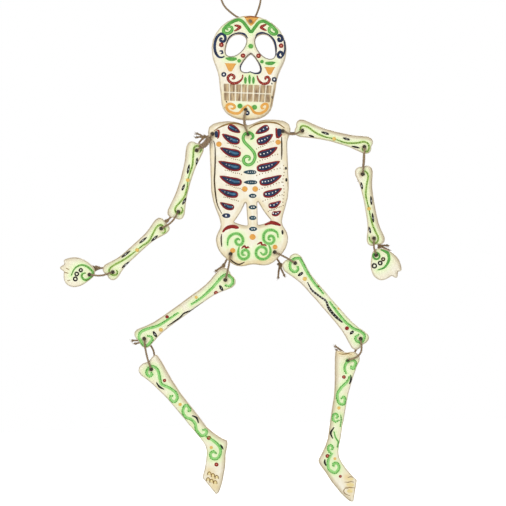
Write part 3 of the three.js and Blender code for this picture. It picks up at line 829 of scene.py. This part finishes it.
openings = flowing([Vector(place) for place in right_eye + left_eye + nose], 0.5)
near = away_from(skull, [spot(*place) for place in openings])
measures = {}
for name in ("rim", "front", "hole_shade_and_rim_line"):
    measures[name] = np.empty(len(near), dtype=np.float32)
    skull.attributes[name].data.foreach_get("value", measures[name])
# A dark line round the eyes and nose, kept with the painted shade of the holes.
inked = 0.8 * (near < 2.4) * (measures["front"] > 0.25)
inked = inked * np.clip((1.2 - measures["rim"]) / 0.5, 0, 1)
keep_measure(skull, "hole_shade_and_rim_line", np.maximum(measures["hole_shade_and_rim_line"], inked))
stroke("tan_tint_and_shade", 1, [(224, 96), (226, 106), (232, 114), (240, 118), (248, 119.6)])
stroke("tan_tint_and_shade", 1, [(270, 99), (267, 108), (258, 116), (248, 119.6)])
lay_paint("skull")

# Neck tie: a short closed loop of the same twine through the hole in the chin and the hole in the
# collar, knotted behind with its two ends cut off and left to fray. Each joint is tied this way.
limb_board, seat_gap = 8.0, 0.65
plug_radii = [1.0, 1.34, 1.34, 1.12, 1.12, 1.34, 1.34, 1.0]


def tie(name, lower_piece, front, rear, knot, tail, cut, upper_board=limb_board,
        lower_board=limb_board, wrap=None, spread=16):
    """One knotted tie between two holes, with the bows, knot and tails that its own one has."""
    top, foot = joint_at[name + "_tie_swing"], joint_at[lower_piece + "_swing"]
    length = 1000 * (foot - top).length
    down = (foot - top).normalized()
    right = Vector((-down.z, 0, down.x))
    high = upper_board / 2 + seat_gap + twine_radius
    low = lower_board / 2 + seat_gap + twine_radius

    def place(x, y, z):
        return top + (right * x + Vector((0, y, 0)) - down * z) / 1000

    def strand(side, bow, t):
        x = bow * (math.sin(math.pi * (0.06 + 0.88 * t)) - math.sin(0.06 * math.pi))
        fall = max(0.0, t - 0.4) / 0.6
        return place(x, side * (high + (low - high) * fall), -0.75 - t * (length - 1.5))

    steps = [0, 0.2, 0.4, 0.6, 0.8, 1]
    route = [strand(1, rear, knot)] + [strand(1, rear, t) for t in steps if t > knot + 0.05]
    route += [place(0, low - 1.5, -length), place(0, 1.5 - low, -length)]
    route += [strand(-1, front, t) for t in reversed(steps)]
    route += [place(0, 1.5 - high, 0), place(0, high - 1.5, 0)]
    route += [strand(1, rear, t) for t in steps if t < knot - 0.05] + [strand(1, rear, knot)]
    behind = max(upper_board, lower_board) / 2 + 0.3 + 2.2
    centre = place(rear * math.sin(math.pi * knot), behind, -length * knot)
    lie = right * math.sin(0.4) - down * math.cos(0.4)
    runs = [(flowing(route, twine_step), 0.0), (coil(centre, lie, knot_girth, 4.4, 2.5), 0.0)]
    for aside, reach in ((-spread, 1.0), (spread, 0.8)):
        way = math.radians(tail + aside)
        out = right * math.cos(way) - down * math.sin(way)
        end = reach * (cut + 2.8)
        ends = [centre + (out * t * end + down * 1.6 * t * t) / 1000 for t in (0, 0.36, 0.7, 1)]
        runs.append((flowing(ends, twine_step), 3.0))
    if wrap:
        first, last, rounds = wrap
        whipping = []
        for i in range(61):
            turn = 2 * math.pi * rounds * i / 60
            girth = 2.1 + 0.35 * math.sin(0.55 * i)
            off = right * girth * math.cos(turn) + Vector((0, 1.9 * math.sin(turn) - 1.7, 0))
            whipping.append(strand(-1, front, first + (last - first) * i / 60) + off / 1000)
        runs.append((flowing(whipping, twine_step), 0.0))
    piece = wound(name + "_twine", runs)
    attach(piece, name + "_tie")
    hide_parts(name + "_tie")
    # Twine bunched in both holes, in the darker colour that stands in for the holes' shade.
    curve = round_stuff(name + "_bunched", 3)
    for z, board in ((0, upper_board), (-length, lower_board)):
        half = board / 2 - 1.0
        depths = (-half, -half + 0.6, -1.2, -0.7, 0.7, 1.2, half - 0.6, half)
        add_run(curve, [place(0, y, z) for y in depths], plug_radii)
    plug = made_up(curve, hole_shade_jute)
    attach(plug, name + "_tie")


tie("neck", "torso", -3.4, -2.6, 0.63, 275, 6, body_board, body_board)

# Torso and pelvis: one thick board with two windows sawn beside the spine. Ribs, breastbone, spine
# and the scrolls of the pelvis are all painted on its flat face.
collar = joint_at["torso_swing"]
carve("torso", collar, collar + Vector((0.001, 0, -0.1)), (0, 0.8), 0.9, passes=9)
right_ribs = [
    ((240.5, 133), (228.2, 126.2), 6.8), ((222, 134.3), (239.9, 142), 8),
    ((220, 148), (241, 154.5), 8.4), ((218.3, 161.5), (241.5, 168), 8.4),
    ((219.5, 176.3), (242, 182.8), 8.4), ((218, 189), (238.3, 195), 7.4),
    ((220, 202.5), (234.3, 207.5), 6.4)]
left_ribs = [
    ((255.4, 134), (268.8, 127), 7), ((273, 134.5), (256.6, 142.5), 8.4),
    ((277.5, 147.5), (257.5, 155.5), 8.4), ((280, 161.5), (256.6, 169), 8.4),
    ((281.8, 175.5), (259.3, 183), 8), ((282, 188.5), (263, 195), 7.4),
    ((281, 201), (268.3, 206), 6), ((281, 211), (271.7, 213.4), 5)]
for ribs in (right_ribs, left_ribs):
    for n, (tip, blunt, width) in enumerate(ribs):
        tip, blunt, sag = Vector(tip), Vector(blunt), 0.0 if n == 0 else 1.6
        leaf("red", tip, blunt, width + 0.5, sag)
        line = leaf("navy", tip.lerp(blunt, 0.1), blunt.lerp(tip, 0.06), width - 2.4, sag, lift=1)
        if ribs is right_ribs:
            tip, blunt = tip.lerp(blunt, 0.42), blunt.lerp(tip, 0.12)
            leaf("sky", tip, blunt, 0.26 * width, 0.7 * sag, lift=2)
        specks = max(3, round(len(line) * 0.4 / 4.2))
        for k in range(specks):
            share = 0.34 + 0.54 * k / (specks - 1)
            at = line[int(share * (len(line) - 1))]
            fine = 0.5 if ribs is right_ribs else 0.72
            dot("white", at.x, at.y - 0.2, fine * (0.6 + 0.5 * share), lift=2)
leaf("navy", (222, 215.6), (230.4, 215.9), 5, full=0.5)
dot("white", 226.2, 215.8, 0.9, lift=1)
stroke("navy", 3.6, [(216.2, 131.2), (216.7, 138)], (0.1, 0.1))
stroke("red", 1.9, [(216.4, 130.6), (218.8, 131.2), (218.9, 135.6), (217.6, 139.2)], (0.2, 0.2))
leaf("navy", (279, 138.2), (279.4, 128.8), 5.2, full=0.7)
stroke("red", 2.3, [(276.2, 128.2), (276.4, 133.4), (277, 138.6)], (0.1, 0.1))
stroke("red", 2.1, [(277.2, 138.4), (279.8, 136.6), (281.8, 134)], (0.1, 0.2))
dots(
    "orange", (219, 144.5, 2.8), (278, 142.5, 2.7), (244.8, 189.2, 2.9), (255.2, 189.2, 2.9),
    (252.6, 237, 3.1), (232.8, 250.5, 2.7), (275, 247, 2.4))
breastbone = [
    (250.2, 139.8), (252.8, 138.2), (252.5, 135), (249, 133), (244.7, 134.5), (243.2, 138.5),
    (245, 143), (250, 148), (254, 153), (255, 158), (252.5, 163.3), (248, 165.2), (244.2, 163),
    (243.8, 159), (246, 156.7), (249.3, 157.2), (249.8, 159.6), (248, 160.5)]
stroke("green", 3.1, breastbone, (0.06, 0.1))
stroke("spring", 1.3, breastbone[3:], (0.2, 0.2), lift=1)
for x0, x1, y in ((243.3, 256.4, 172.4), (243.6, 257.2, 182.5)):
    leaf("teal", (x0, y), (x1, y), 4.6, full=0.55)
    beads("white", [(x0 + 2.6, y), (x1 - 1.4, y)], 2.2, 0.55)
for x0, x1, y in ((248.8, 256.6, 196), (248.6, 256.8, 207.4), (249, 256.4, 218), (249, 257.2, 229)):
    stroke("teal", 4.4, [(x0, y), (x1, y)], (0.3, 0.3))
    beads("white", [(x0 + 0.6, y), (x1 - 0.8, y)], 2.3, 0.62)
for places in (
        [(227.5, 246), (228.5, 238.5), (232.5, 234.6), (237.5, 233.7), (241.8, 236.5), (243, 241),
         (240.8, 244.8), (237.2, 244.2), (235.6, 241), (238, 238.8), (240, 240.2)],
        [(239.4, 246.4), (238.2, 252), (239.8, 257.2), (244, 259.2), (248.2, 256.8), (248.6, 252.5),
         (246, 250), (242.6, 251.2), (242.4, 254.6), (245, 255.2)],
        [(278, 238), (277, 233), (272.5, 230.2), (267, 230.7), (263.8, 234.6), (263.8, 240),
         (267, 243.2), (271.8, 243.2), (274, 240), (272.6, 236.4), (269.2, 236.4), (268.6, 239.3),
         (270.4, 240)],
        [(268.3, 244.4), (270.2, 249), (269.8, 254.5), (265.5, 258.7), (260, 258.7), (256.3, 255),
         (256.8, 249.6), (261, 246.8), (265.6, 248.7), (266, 252.8), (263, 254.6), (260.8, 252.5)]):
    scroll(3.1, places, (0.2, 0.1))
stroke("red", 2.0, [(241.5, 248.6), (244.5, 246), (246, 248), (248, 247), (249.4, 248.2)])
stroke("red", 2.0, [(257, 244.5), (261, 242.6), (262, 245), (265, 245), (266.5, 246.4)])
stroke("red", 3.8, [(222.6, 232.4), (226, 228.6), (232, 226.6), (239, 228)], (0.4, 0.15))
stroke("red", 3.8, [(264.6, 225), (270, 222.7), (276, 223.6), (280.8, 225.6)], (0.3, 0.3))
for places in (
        [(213.6, 141), (215, 146), (215.4, 158), (214.9, 173), (214.6, 183), (217, 203),
         (222, 214)],
        [(281.5, 137), (281.7, 150), (281.5, 160)],
        [(221.6, 234), (221.3, 240), (221.8, 247)],
        [(229.4, 258), (233.6, 262), (239, 264.3), (244.8, 261.9)]):
    stroke("brown", 1.6, places)
for places in (
        [(214, 131.6), (218, 128.6), (226, 125), (235, 123.6), (243, 125.6), (246.4, 129)],
        [(249, 129), (256, 124.8), (266, 122.6), (277, 123.8), (284.6, 128.4)]):
    stroke("ochre", 1.6, places)
for ribs, reach in ((left_ribs, 1.0), (right_ribs, 0.7)):
    for tip, blunt, width in ribs[1:-1]:
        for k in range(9):
            at = Vector(blunt).lerp(Vector(tip), k / 8 * reach)
            dot("ochre", at.x, at.y + width / 2 + 2.6 + 0.3 * math.sin(5 * k), 0.56)
for k in range(13):
    dot("ochre", 283.4 + 0.6 * math.sin(k), 166 + 3.3 * k, 0.56)
for a, b in (
        ((285.6, 167), (286, 170)), ((286.2, 178.2), (286.2, 182)), ((282.2, 230), (282.6, 234.8))):
    stroke("black", 2.1, [a, b])
stroke("tan_tint_and_shade", 1, [(228, 259), (240, 264.4), (255, 263.6), (270, 258.4)])
lay_paint("torso")

# Arms: on each side an upper arm, a forearm and a mitten hand, thin boards with two-lobed ends,
# each with a green scroll that runs from hole to hole. They hang from the shoulders by twine ties.
tie(
    "right_shoulder", "right_upper_arm", 2.2, -5.6, 0.36, 201, 4.6, body_board,
    wrap=(0.2, 0.78, 6.5))
tie("left_shoulder", "left_upper_arm", -4.6, -2, 0.3, 100, 7, body_board)
tie("right_elbow", "right_forearm", 3.2, -2.2, 0.64, 265, 6)
tie("left_elbow", "left_forearm", 0.6, 0.4, 0.8, 268, 7)
tie("right_wrist", "right_hand", 2.6, -6.6, 0.65, 262, 6)
tie("left_wrist", "left_hand", -1.6, 5, 0.5, 352, 7)


def bone(node, next_tie, light):
    carve(node, joint_at[node + "_swing"], joint_at[next_tie + "_tie_swing"], light)


def arm_vine(thin, berry, above, below):
    """Two thin yellow-green scrolls, dotted with olive green, that meet in a yellow berry."""
    for places, ends in ((above, (0.1, thin)), (below, (thin, 0.1))):
        stroke("lime", 2.1, places, ends)
        beads("olive", places, 1.6, 0.66)
    dot("yellow", *below[0], berry, lift=2)


def seeds(width, *pairs):
    """Small black leaf-shaped marks, each from end to end; the wider ones have a white streak."""
    for a, b in pairs:
        leaf("black", a, b, width, full=0.5)
        if width > 2.2:
            near, far = Vector(a).lerp(Vector(b), 0.35), Vector(a).lerp(Vector(b), 0.68)
            leaf("white", near, far, 0.6, lift=1)


bone("right_upper_arm", "right_elbow", (-0.7, 0.2))
arm_vine(
    0.2, 1.9,
    [(199.4, 153.2), (201.4, 150), (199.8, 146.8), (197.3, 146), (194.2, 147.9), (193.2, 157.3),
     (192.6, 164.8), (189.9, 173.5), (187.9, 180.2)],
    [(187.9, 180.2), (187, 189.8), (184.1, 197.3), (179.1, 203.5), (175.6, 207.9), (175.6, 211.6),
     (178, 213.8), (181.3, 213.2), (182.8, 210), (181.4, 207.2)])
seeds(
    2.5, ((197.3, 157.3), (196.6, 165.4)), ((189.5, 164.1), (187.5, 174.1)),
    ((184.8, 184.1), (182, 190.8)), ((186.3, 197.5), (182.5, 204.8)))
lay_paint("right_upper_arm")

bone("right_forearm", "right_wrist", (-0.3, 0.6))
arm_vine(
    0.2, 1.9,
    [(161.4, 233), (164.6, 232.6), (165.2, 229.4), (162.6, 225.8), (159.8, 224.9), (156.2, 227.9),
     (152.5, 234.8), (149.1, 241), (142.3, 246), (137.3, 250)],
    [(137.3, 250), (126, 258.5), (116, 264.1), (110.6, 267.9), (109.4, 271.6), (112.3, 274.8),
     (116.4, 274.6), (117.6, 271.6), (116, 269.8)])
seeds(
    2.4, ((147.3, 237), (139.5, 243.3)), ((151, 241.6), (157.9, 235.4)),
    ((131, 250.4), (121.6, 257.5)), ((121.6, 268.3), (129.5, 261.6)))
lay_paint("right_forearm")

palm = joint_at["right_hand_swing"]
carve("right_hand", palm, palm + Vector((-0.03, 0, 0)), (0.0, 0.5), 0.2, 0.0005)
scroll(2.5, [
    (71.4, 276), (74.8, 268.7), (81, 265), (87.3, 266.6), (92.8, 271.4), (93.9, 274.8),
    (92.4, 278.7), (88.5, 280.6), (84.2, 279.4), (82, 276.6), (82.8, 273.8),
    (85.4, 273)], (0.4, 0.05), 0.68, 1.5, "olive")
for x, y, r in ((81, 270.1, 1.5), (77, 273.9, 1.7), (75.6, 278.9, 1.8)):
    ring("black", x, y, r, 1.6)
for a, b in (((66, 268), (70, 270)), ((64, 272), (69, 273.4)), ((67, 281), (71, 280))):
    stroke("ochre", 0.8, [a, b])
lay_paint("right_hand")

bone("left_upper_arm", "left_elbow", (0.3, 1.0))
arm_vine(
    0.3, 1.9,
    [(299.7, 131.6), (300.6, 127.6), (302.9, 126), (307.9, 127.4), (313.5, 131.5), (318.5, 134.5),
     (325, 137), (334, 139)],
    [(334, 139), (346, 143), (356, 143.2), (363.5, 142), (367.9, 143.9), (368.8, 148.3),
     (366.9, 151.6), (363, 150.6), (361.8, 148.3)])
seeds(2.6, ((320.8, 132), (329.1, 134.5)), ((342.3, 138), (349.8, 140.1)))
seeds(2.0, ((308.3, 135.2), (314.1, 137.2)), ((351, 146.2), (359.8, 148.2)))
lay_paint("left_upper_arm")

bone("left_forearm", "left_wrist", (1.0, 0.1))
arm_vine(
    0.3, 1.8,
    [(363.5, 170.8), (366.6, 172.6), (367.9, 177), (366.3, 185.8), (365.6, 194.5), (367, 202),
     (368.8, 208.8)],
    [(368.8, 208.8), (370.4, 217), (372.3, 224.5), (375.4, 232), (377.8, 237), (377.6, 240.8),
     (374.8, 243.2), (370.4, 241.4), (369, 237)])
seeds(
    2.4, ((360.8, 182), (362.3, 189.5)), ((370.6, 195.8), (371.3, 205.1)),
    ((372, 212.6), (373.3, 222.6)), ((368.7, 226.4), (370.4, 233.3)))
lay_paint("left_forearm")

palm = joint_at["left_hand_swing"]
carve("left_hand", palm, palm + Vector((0.015, 0, -0.026)), (0.8, 0.3), 0.2, 0.0005)
ring("green", 376.2, 256, 3.2, 2)
stroke("green", 2.9, [
    (380.6, 248.9), (384.8, 250.3), (388.2, 254.5), (388.4, 260.8), (384.2, 267.4),
    (377.3, 270)], (0.2, 0.5))
for x, y, r, colour in (
        (374.2, 265.8, 2, "black"), (380, 263, 1.7, "black"), (383, 259.2, 1.4, "brown")):
    ring(colour, x, y, r, 1.7)
lay_paint("left_hand")

# Legs: on each side a thigh and a shin whose foot is cut in the same board, toes set outwards.
# Green scrolls, seed marks and dots run down them, and thin ochre lines mark the toes.
tie("right_hip", "right_thigh", 0.8, -5, 0.52, 232, 5, body_board)
tie("left_hip", "left_thigh", 0.6, -9, 0.47, 210, 10, body_board)
tie("right_knee", "right_shin", -1.4, 7.4, 0.12, 165, 14, spread=6)
tie("left_knee", "left_shin", 8.4, 2.6, 0.86, 172, 17, spread=4)


def leg_scroll(width, places, thin):
    """A pale green scroll with darker dots along its outer edge."""
    stroke("mint", width, places, thin)
    beads("green", places, 1.6, 0.72, outer=0.28 * width)


bone("right_thigh", "right_knee", (-0.3, 0.5))
leg_scroll(2.9, [
    (191, 305), (201, 298.3), (211, 289.2), (217.7, 281.7), (222.7, 276.2), (226.8, 274.8),
    (231.8, 277.5), (232.6, 282.5), (229.3, 285.9), (225, 284.4)], (0.3, 0.1))
leg_scroll(2.9, [
    (179.3, 312.5), (167.7, 320), (157.7, 325.8), (147.7, 328.7), (140.8, 332.2), (139.2, 338.3),
    (141.6, 344.4), (147.7, 346), (152.3, 342.3), (151.4, 337), (147, 336.2)], (0.3, 0.1))
dots("yellow", (196.3, 297.2, 1.7), (161, 329.7, 2.1))
eyed("red", "rose", (216, 292.8, 2.1))
dot("red", 167.2, 316.7, 1.8)
seeds(3.2, ((219.3, 285), (223, 290.8)), ((153, 330.8), (156.8, 337)))
stroke("black", 1.6, [
    (204.3, 302.3), (192.7, 309.8), (184.3, 313.1), (179.3, 318), (167.2, 326.2)], (0.2, 0.2))
lay_paint("right_thigh")

bone("left_thigh", "left_knee", (0.2, -0.3))
leg_scroll(2.9, [
    (296.4, 266), (298, 268.2), (296.4, 271.3), (292.9, 271.2), (290.1, 267.7), (290.8, 261.6),
    (295.2, 258.6), (300, 258.6), (303.8, 262.2), (307.3, 271), (312.5, 281),
    (323, 294)], (0.05, 0.3))
leg_scroll(2.9, [
    (328.7, 301.2), (336, 311), (344.3, 321), (352.7, 328), (361.9, 332.2), (364.2, 336.8),
    (361.4, 341.8), (356.4, 340.6), (355.6, 337), (358.8, 334.9)], (0.3, 0.05))
dots("yellow", (304.8, 278.8, 2.2), (338.5, 308.5, 1.2))
dots("red", (318.4, 286.4, 1.1), (346.8, 328.2, 2.1))
seeds(3.1, ((297.7, 276), (303, 272.3)), ((349.7, 334.3), (353.5, 330.7)))
feather = [
    (307.3, 281.8), (311.8, 290), (320, 296.6), (325.8, 301), (328.5, 307.7), (334.3, 315.2),
    (342.5, 322.5)]
stroke("black", 2.1, feather[:5], (0.3, 0.1))
stroke("black", 3.0, feather[3:], (0.3, 0.3))
for x, y in flowing([Vector(place) for place in feather], 1.6)[4:-3:2]:
    stroke("white", 0.5, [(x - 0.9, y + 0.4), (x + 0.9, y - 0.4)], lift=1)
lay_paint("left_thigh")


def shin(node, ankle, light, heel=None):
    carve(node, joint_at[node + "_swing"], ankle, light, 0.35, worn=heel)


shin("right_shin", spot(208, 446), (0.7, 0.4))
leg_scroll(3.0, [
    (150, 371.6), (152, 374), (149.6, 376), (147, 373.6), (147.6, 369.6), (151, 366.6),
    (154.6, 366.8), (158.3, 370.8), (160, 378.3), (161.8, 384), (169.3, 387.5), (175.8, 392.5),
    (177.3, 398), (174.3, 401.6), (170.6, 399.2), (171.2, 396), (173.4, 396.6)], (0.05, 0.05))
leg_scroll(3.0, [
    (187.3, 409.5), (189.8, 410.6), (189.2, 406.2), (185.4, 405.4), (183, 410.8), (185.3, 416.5),
    (191, 419), (195.2, 423.3), (196.8, 430.8), (201.8, 435.4), (206.4, 433.2), (205.8, 429.6),
    (203, 430.2)], (0.05, 0.05))
leg_scroll(3.0, [
    (205.2, 436.2), (212.7, 440), (219, 445.8), (220.6, 451.7), (217.5, 457.9), (212, 457.9),
    (210.5, 453.5), (213.5, 451.2), (215.7, 453.3)], (0.2, 0.05))
eyed("red", "rose", (164.7, 380.3, 1.8), (209, 437.6, 2.2), (216.5, 464.2, 2.1))
dots("yellow", (180.2, 404.2, 1.8), (211.4, 447.2, 1.7))
for places in (
        [(156.4, 381.9), (159.5, 386.4), (164.5, 389.3)],
        [(191.8, 415.3), (196.6, 417.5), (198.6, 423)],
        [(220.4, 444.2), (223.4, 449.2)]):
    stroke("black", 2.3, places, (0.5, 0.5))
for x, y in (
        (209.4, 473.2), (213, 474.9), (216.8, 476.8), (208.2, 479), (211.6, 480.7), (215.4, 482)):
    dot("straw", x, y, 1.5)
    nail = [
        (x - 1.7, y + 1.7), (x - 1.5, y - 0.6), (x, y - 1.7), (x + 1.5, y - 0.4),
        (x + 1.6, y + 1.8)]
    stroke("ochre", 0.9, nail, (0, 0), lift=1)
stroke("tan_tint_and_shade", 1, [(209, 470), (213, 478), (216, 487)])
lay_paint("right_shin")

shin("left_shin", spot(333, 450), (-0.8, -0.3), spot(319, 460))
leg_scroll(2.9, [
    (346.8, 374), (344.6, 368.5), (346.2, 363), (351.6, 360), (355.4, 362.2), (354.8, 367.6),
    (351.4, 368), (351.9, 365.4)], (0.2, 0.05))
leg_scroll(2.9, [
    (350, 375.4), (347.5, 381), (341, 387.7), (337.2, 394.3), (338.7, 402.3), (343.3, 403.9),
    (345.6, 400.2), (343.4, 396.6), (341.9, 398.6)], (0.2, 0.05))
leg_scroll(2.6, [
    (335, 418), (337.4, 416.4), (336.2, 413.8), (333.2, 414.6), (332.4, 418.2), (335, 421.2),
    (338.4, 419.6)], (0.1, 0.3))
scroll(1.4, [(340.6, 414), (341, 420), (340, 427)], (0.4, 0.4))
scroll(1.7, [(333.6, 430.6), (335.4, 437), (338.6, 442.6), (338, 448)], (0.3, 0.3))
leg_scroll(2.6, [
    (330.4, 449.6), (332.6, 447.6), (330.8, 445), (328.2, 446.6), (328.8, 450.6),
    (331.4, 452.6)], (0.1, 0.2))
leg_scroll(3.1, [
    (332.7, 452.6), (329, 458), (327.8, 463), (329, 469), (335, 472.2), (338.8, 467.7),
    (337.3, 463.2), (333.8, 463.2), (333.9, 466.6)], (0.2, 0.05))
eyed("red", "rose", (343.8, 376.8, 1.9), (327.4, 455.7, 2.1), (340.2, 476, 1.5))
dots("yellow", (338.8, 407.7, 1.7), (334.8, 458.3, 1.5))
for places in (
        [(350.4, 374.6), (350.9, 379.3), (349.1, 384)],
        [(334.1, 426.8), (330.6, 432.7), (332.7, 438.3)]):
    stroke("black", 2.3, places, (0.5, 0.5))
stroke("black", 2.4, [(324.9, 458.7), (324.6, 462), (326.2, 465.8)], (0.5, 0.5))
for a, b, width in (
        ((347, 479.2), (353.2, 478.6), 2.9), ((346, 484.2), (354, 484.5), 3.4),
        ((346.6, 490.6), (352.6, 490.8), 3.6)):
    leaf("straw", a, b, width, full=0.5)
for places in (
        [(344.2, 481.6), (347.5, 481.9), (351, 481.3), (354, 481.9)],
        [(347.4, 477.4), (350.4, 476.4), (353, 477.4)],
        [(344.4, 486.8), (347.8, 487), (351, 487.2), (354.8, 487.6)],
        [(348.6, 488.6), (345.8, 487.9), (343.8, 489.6), (344.2, 492.4), (346.8, 494.2),
         (350, 495.4)]):
    stroke("ochre", 0.8, places, (0.4, 0.4), lift=1)
stroke("tan_tint_and_shade", 1, [(347, 477), (350, 486), (351, 494)])
# Painted shade at the left shin's top: a tan band and a dark ochre line along the edge.
stroke("tan_tint_and_shade", 1, [(338, 353), (345, 353), (351, 354)])
stroke("ochre", 1.1, [(338.5, 353.4), (343, 354), (348, 353.6), (351.6, 354.4)], (0.4, 0.4))
lay_paint("left_shin")

# Floor and light: a plain white studio, a broad soft lamp from the upper left and a weaker one from
# the right, at a level at which a colour shows as it is written. The floor keeps the shadow.
floor_gap = 0.03
bpy.ops.mesh.primitive_circle_add(
    vertices=96, radius=1.6, fill_type="NGON", location=(0, 0, cad_box[0][2] - floor_gap))
floor = bpy.context.object
floor.name = "floor"
bpy.ops.object.transform_apply(location=True)
white_floor, tree, shader = finish("white_floor", 0.9)
feed(tree, shader.inputs["Base Color"], "#F4F4F2")
seen = times(tree, made(tree, "LightPath", {}, "Is Camera Ray"), 0.45)
shader.inputs["Emission Color"].default_value = (1, 1, 1, 1)
feed(tree, shader.inputs["Emission Strength"], seen)
floor.data.materials.append(white_floor)

world = bpy.data.worlds.new("studio")
world.use_nodes = True
scene.world = world
tree = world.node_tree
sky = tree.nodes["Background"]
sky.inputs["Color"].default_value = (1, 1, 1, 1)
rays = tree.nodes.new("ShaderNodeLightPath")
clear = reckoned(tree, "MAXIMUM", rays.outputs["Is Camera Ray"], rays.outputs["Is Glossy Ray"])
clear = reckoned(tree, "MAXIMUM", clear, rays.outputs["Is Transmission Ray"])
feed(tree, sky.inputs["Strength"], ramped(tree, clear, 0.0, 1.0, 0.5, 1.0, "LINEAR"))


def lamp(name, place, aim, size, power):
    data = bpy.data.lights.new(name, "AREA")
    data.shape = "DISK"
    data.size = size
    data.energy = power
    light = bpy.data.objects.new(name, data)
    scene.collection.objects.link(light)
    light.location = place
    light.rotation_euler = (Vector(aim) - Vector(place)).to_track_quat("-Z", "Y").to_euler()


lamp("soft_key", (-0.9, -1.5, 0.55), (0, 0, -0.3), 0.9, 14)
lamp("soft_fill", (1.3, -1.3, -0.1), (0, 0, -0.3), 0.9, 5.6)
lamp("soft_back", (0.6, 1.6, 0.6), (0, 0, -0.3), 1.0, 13)
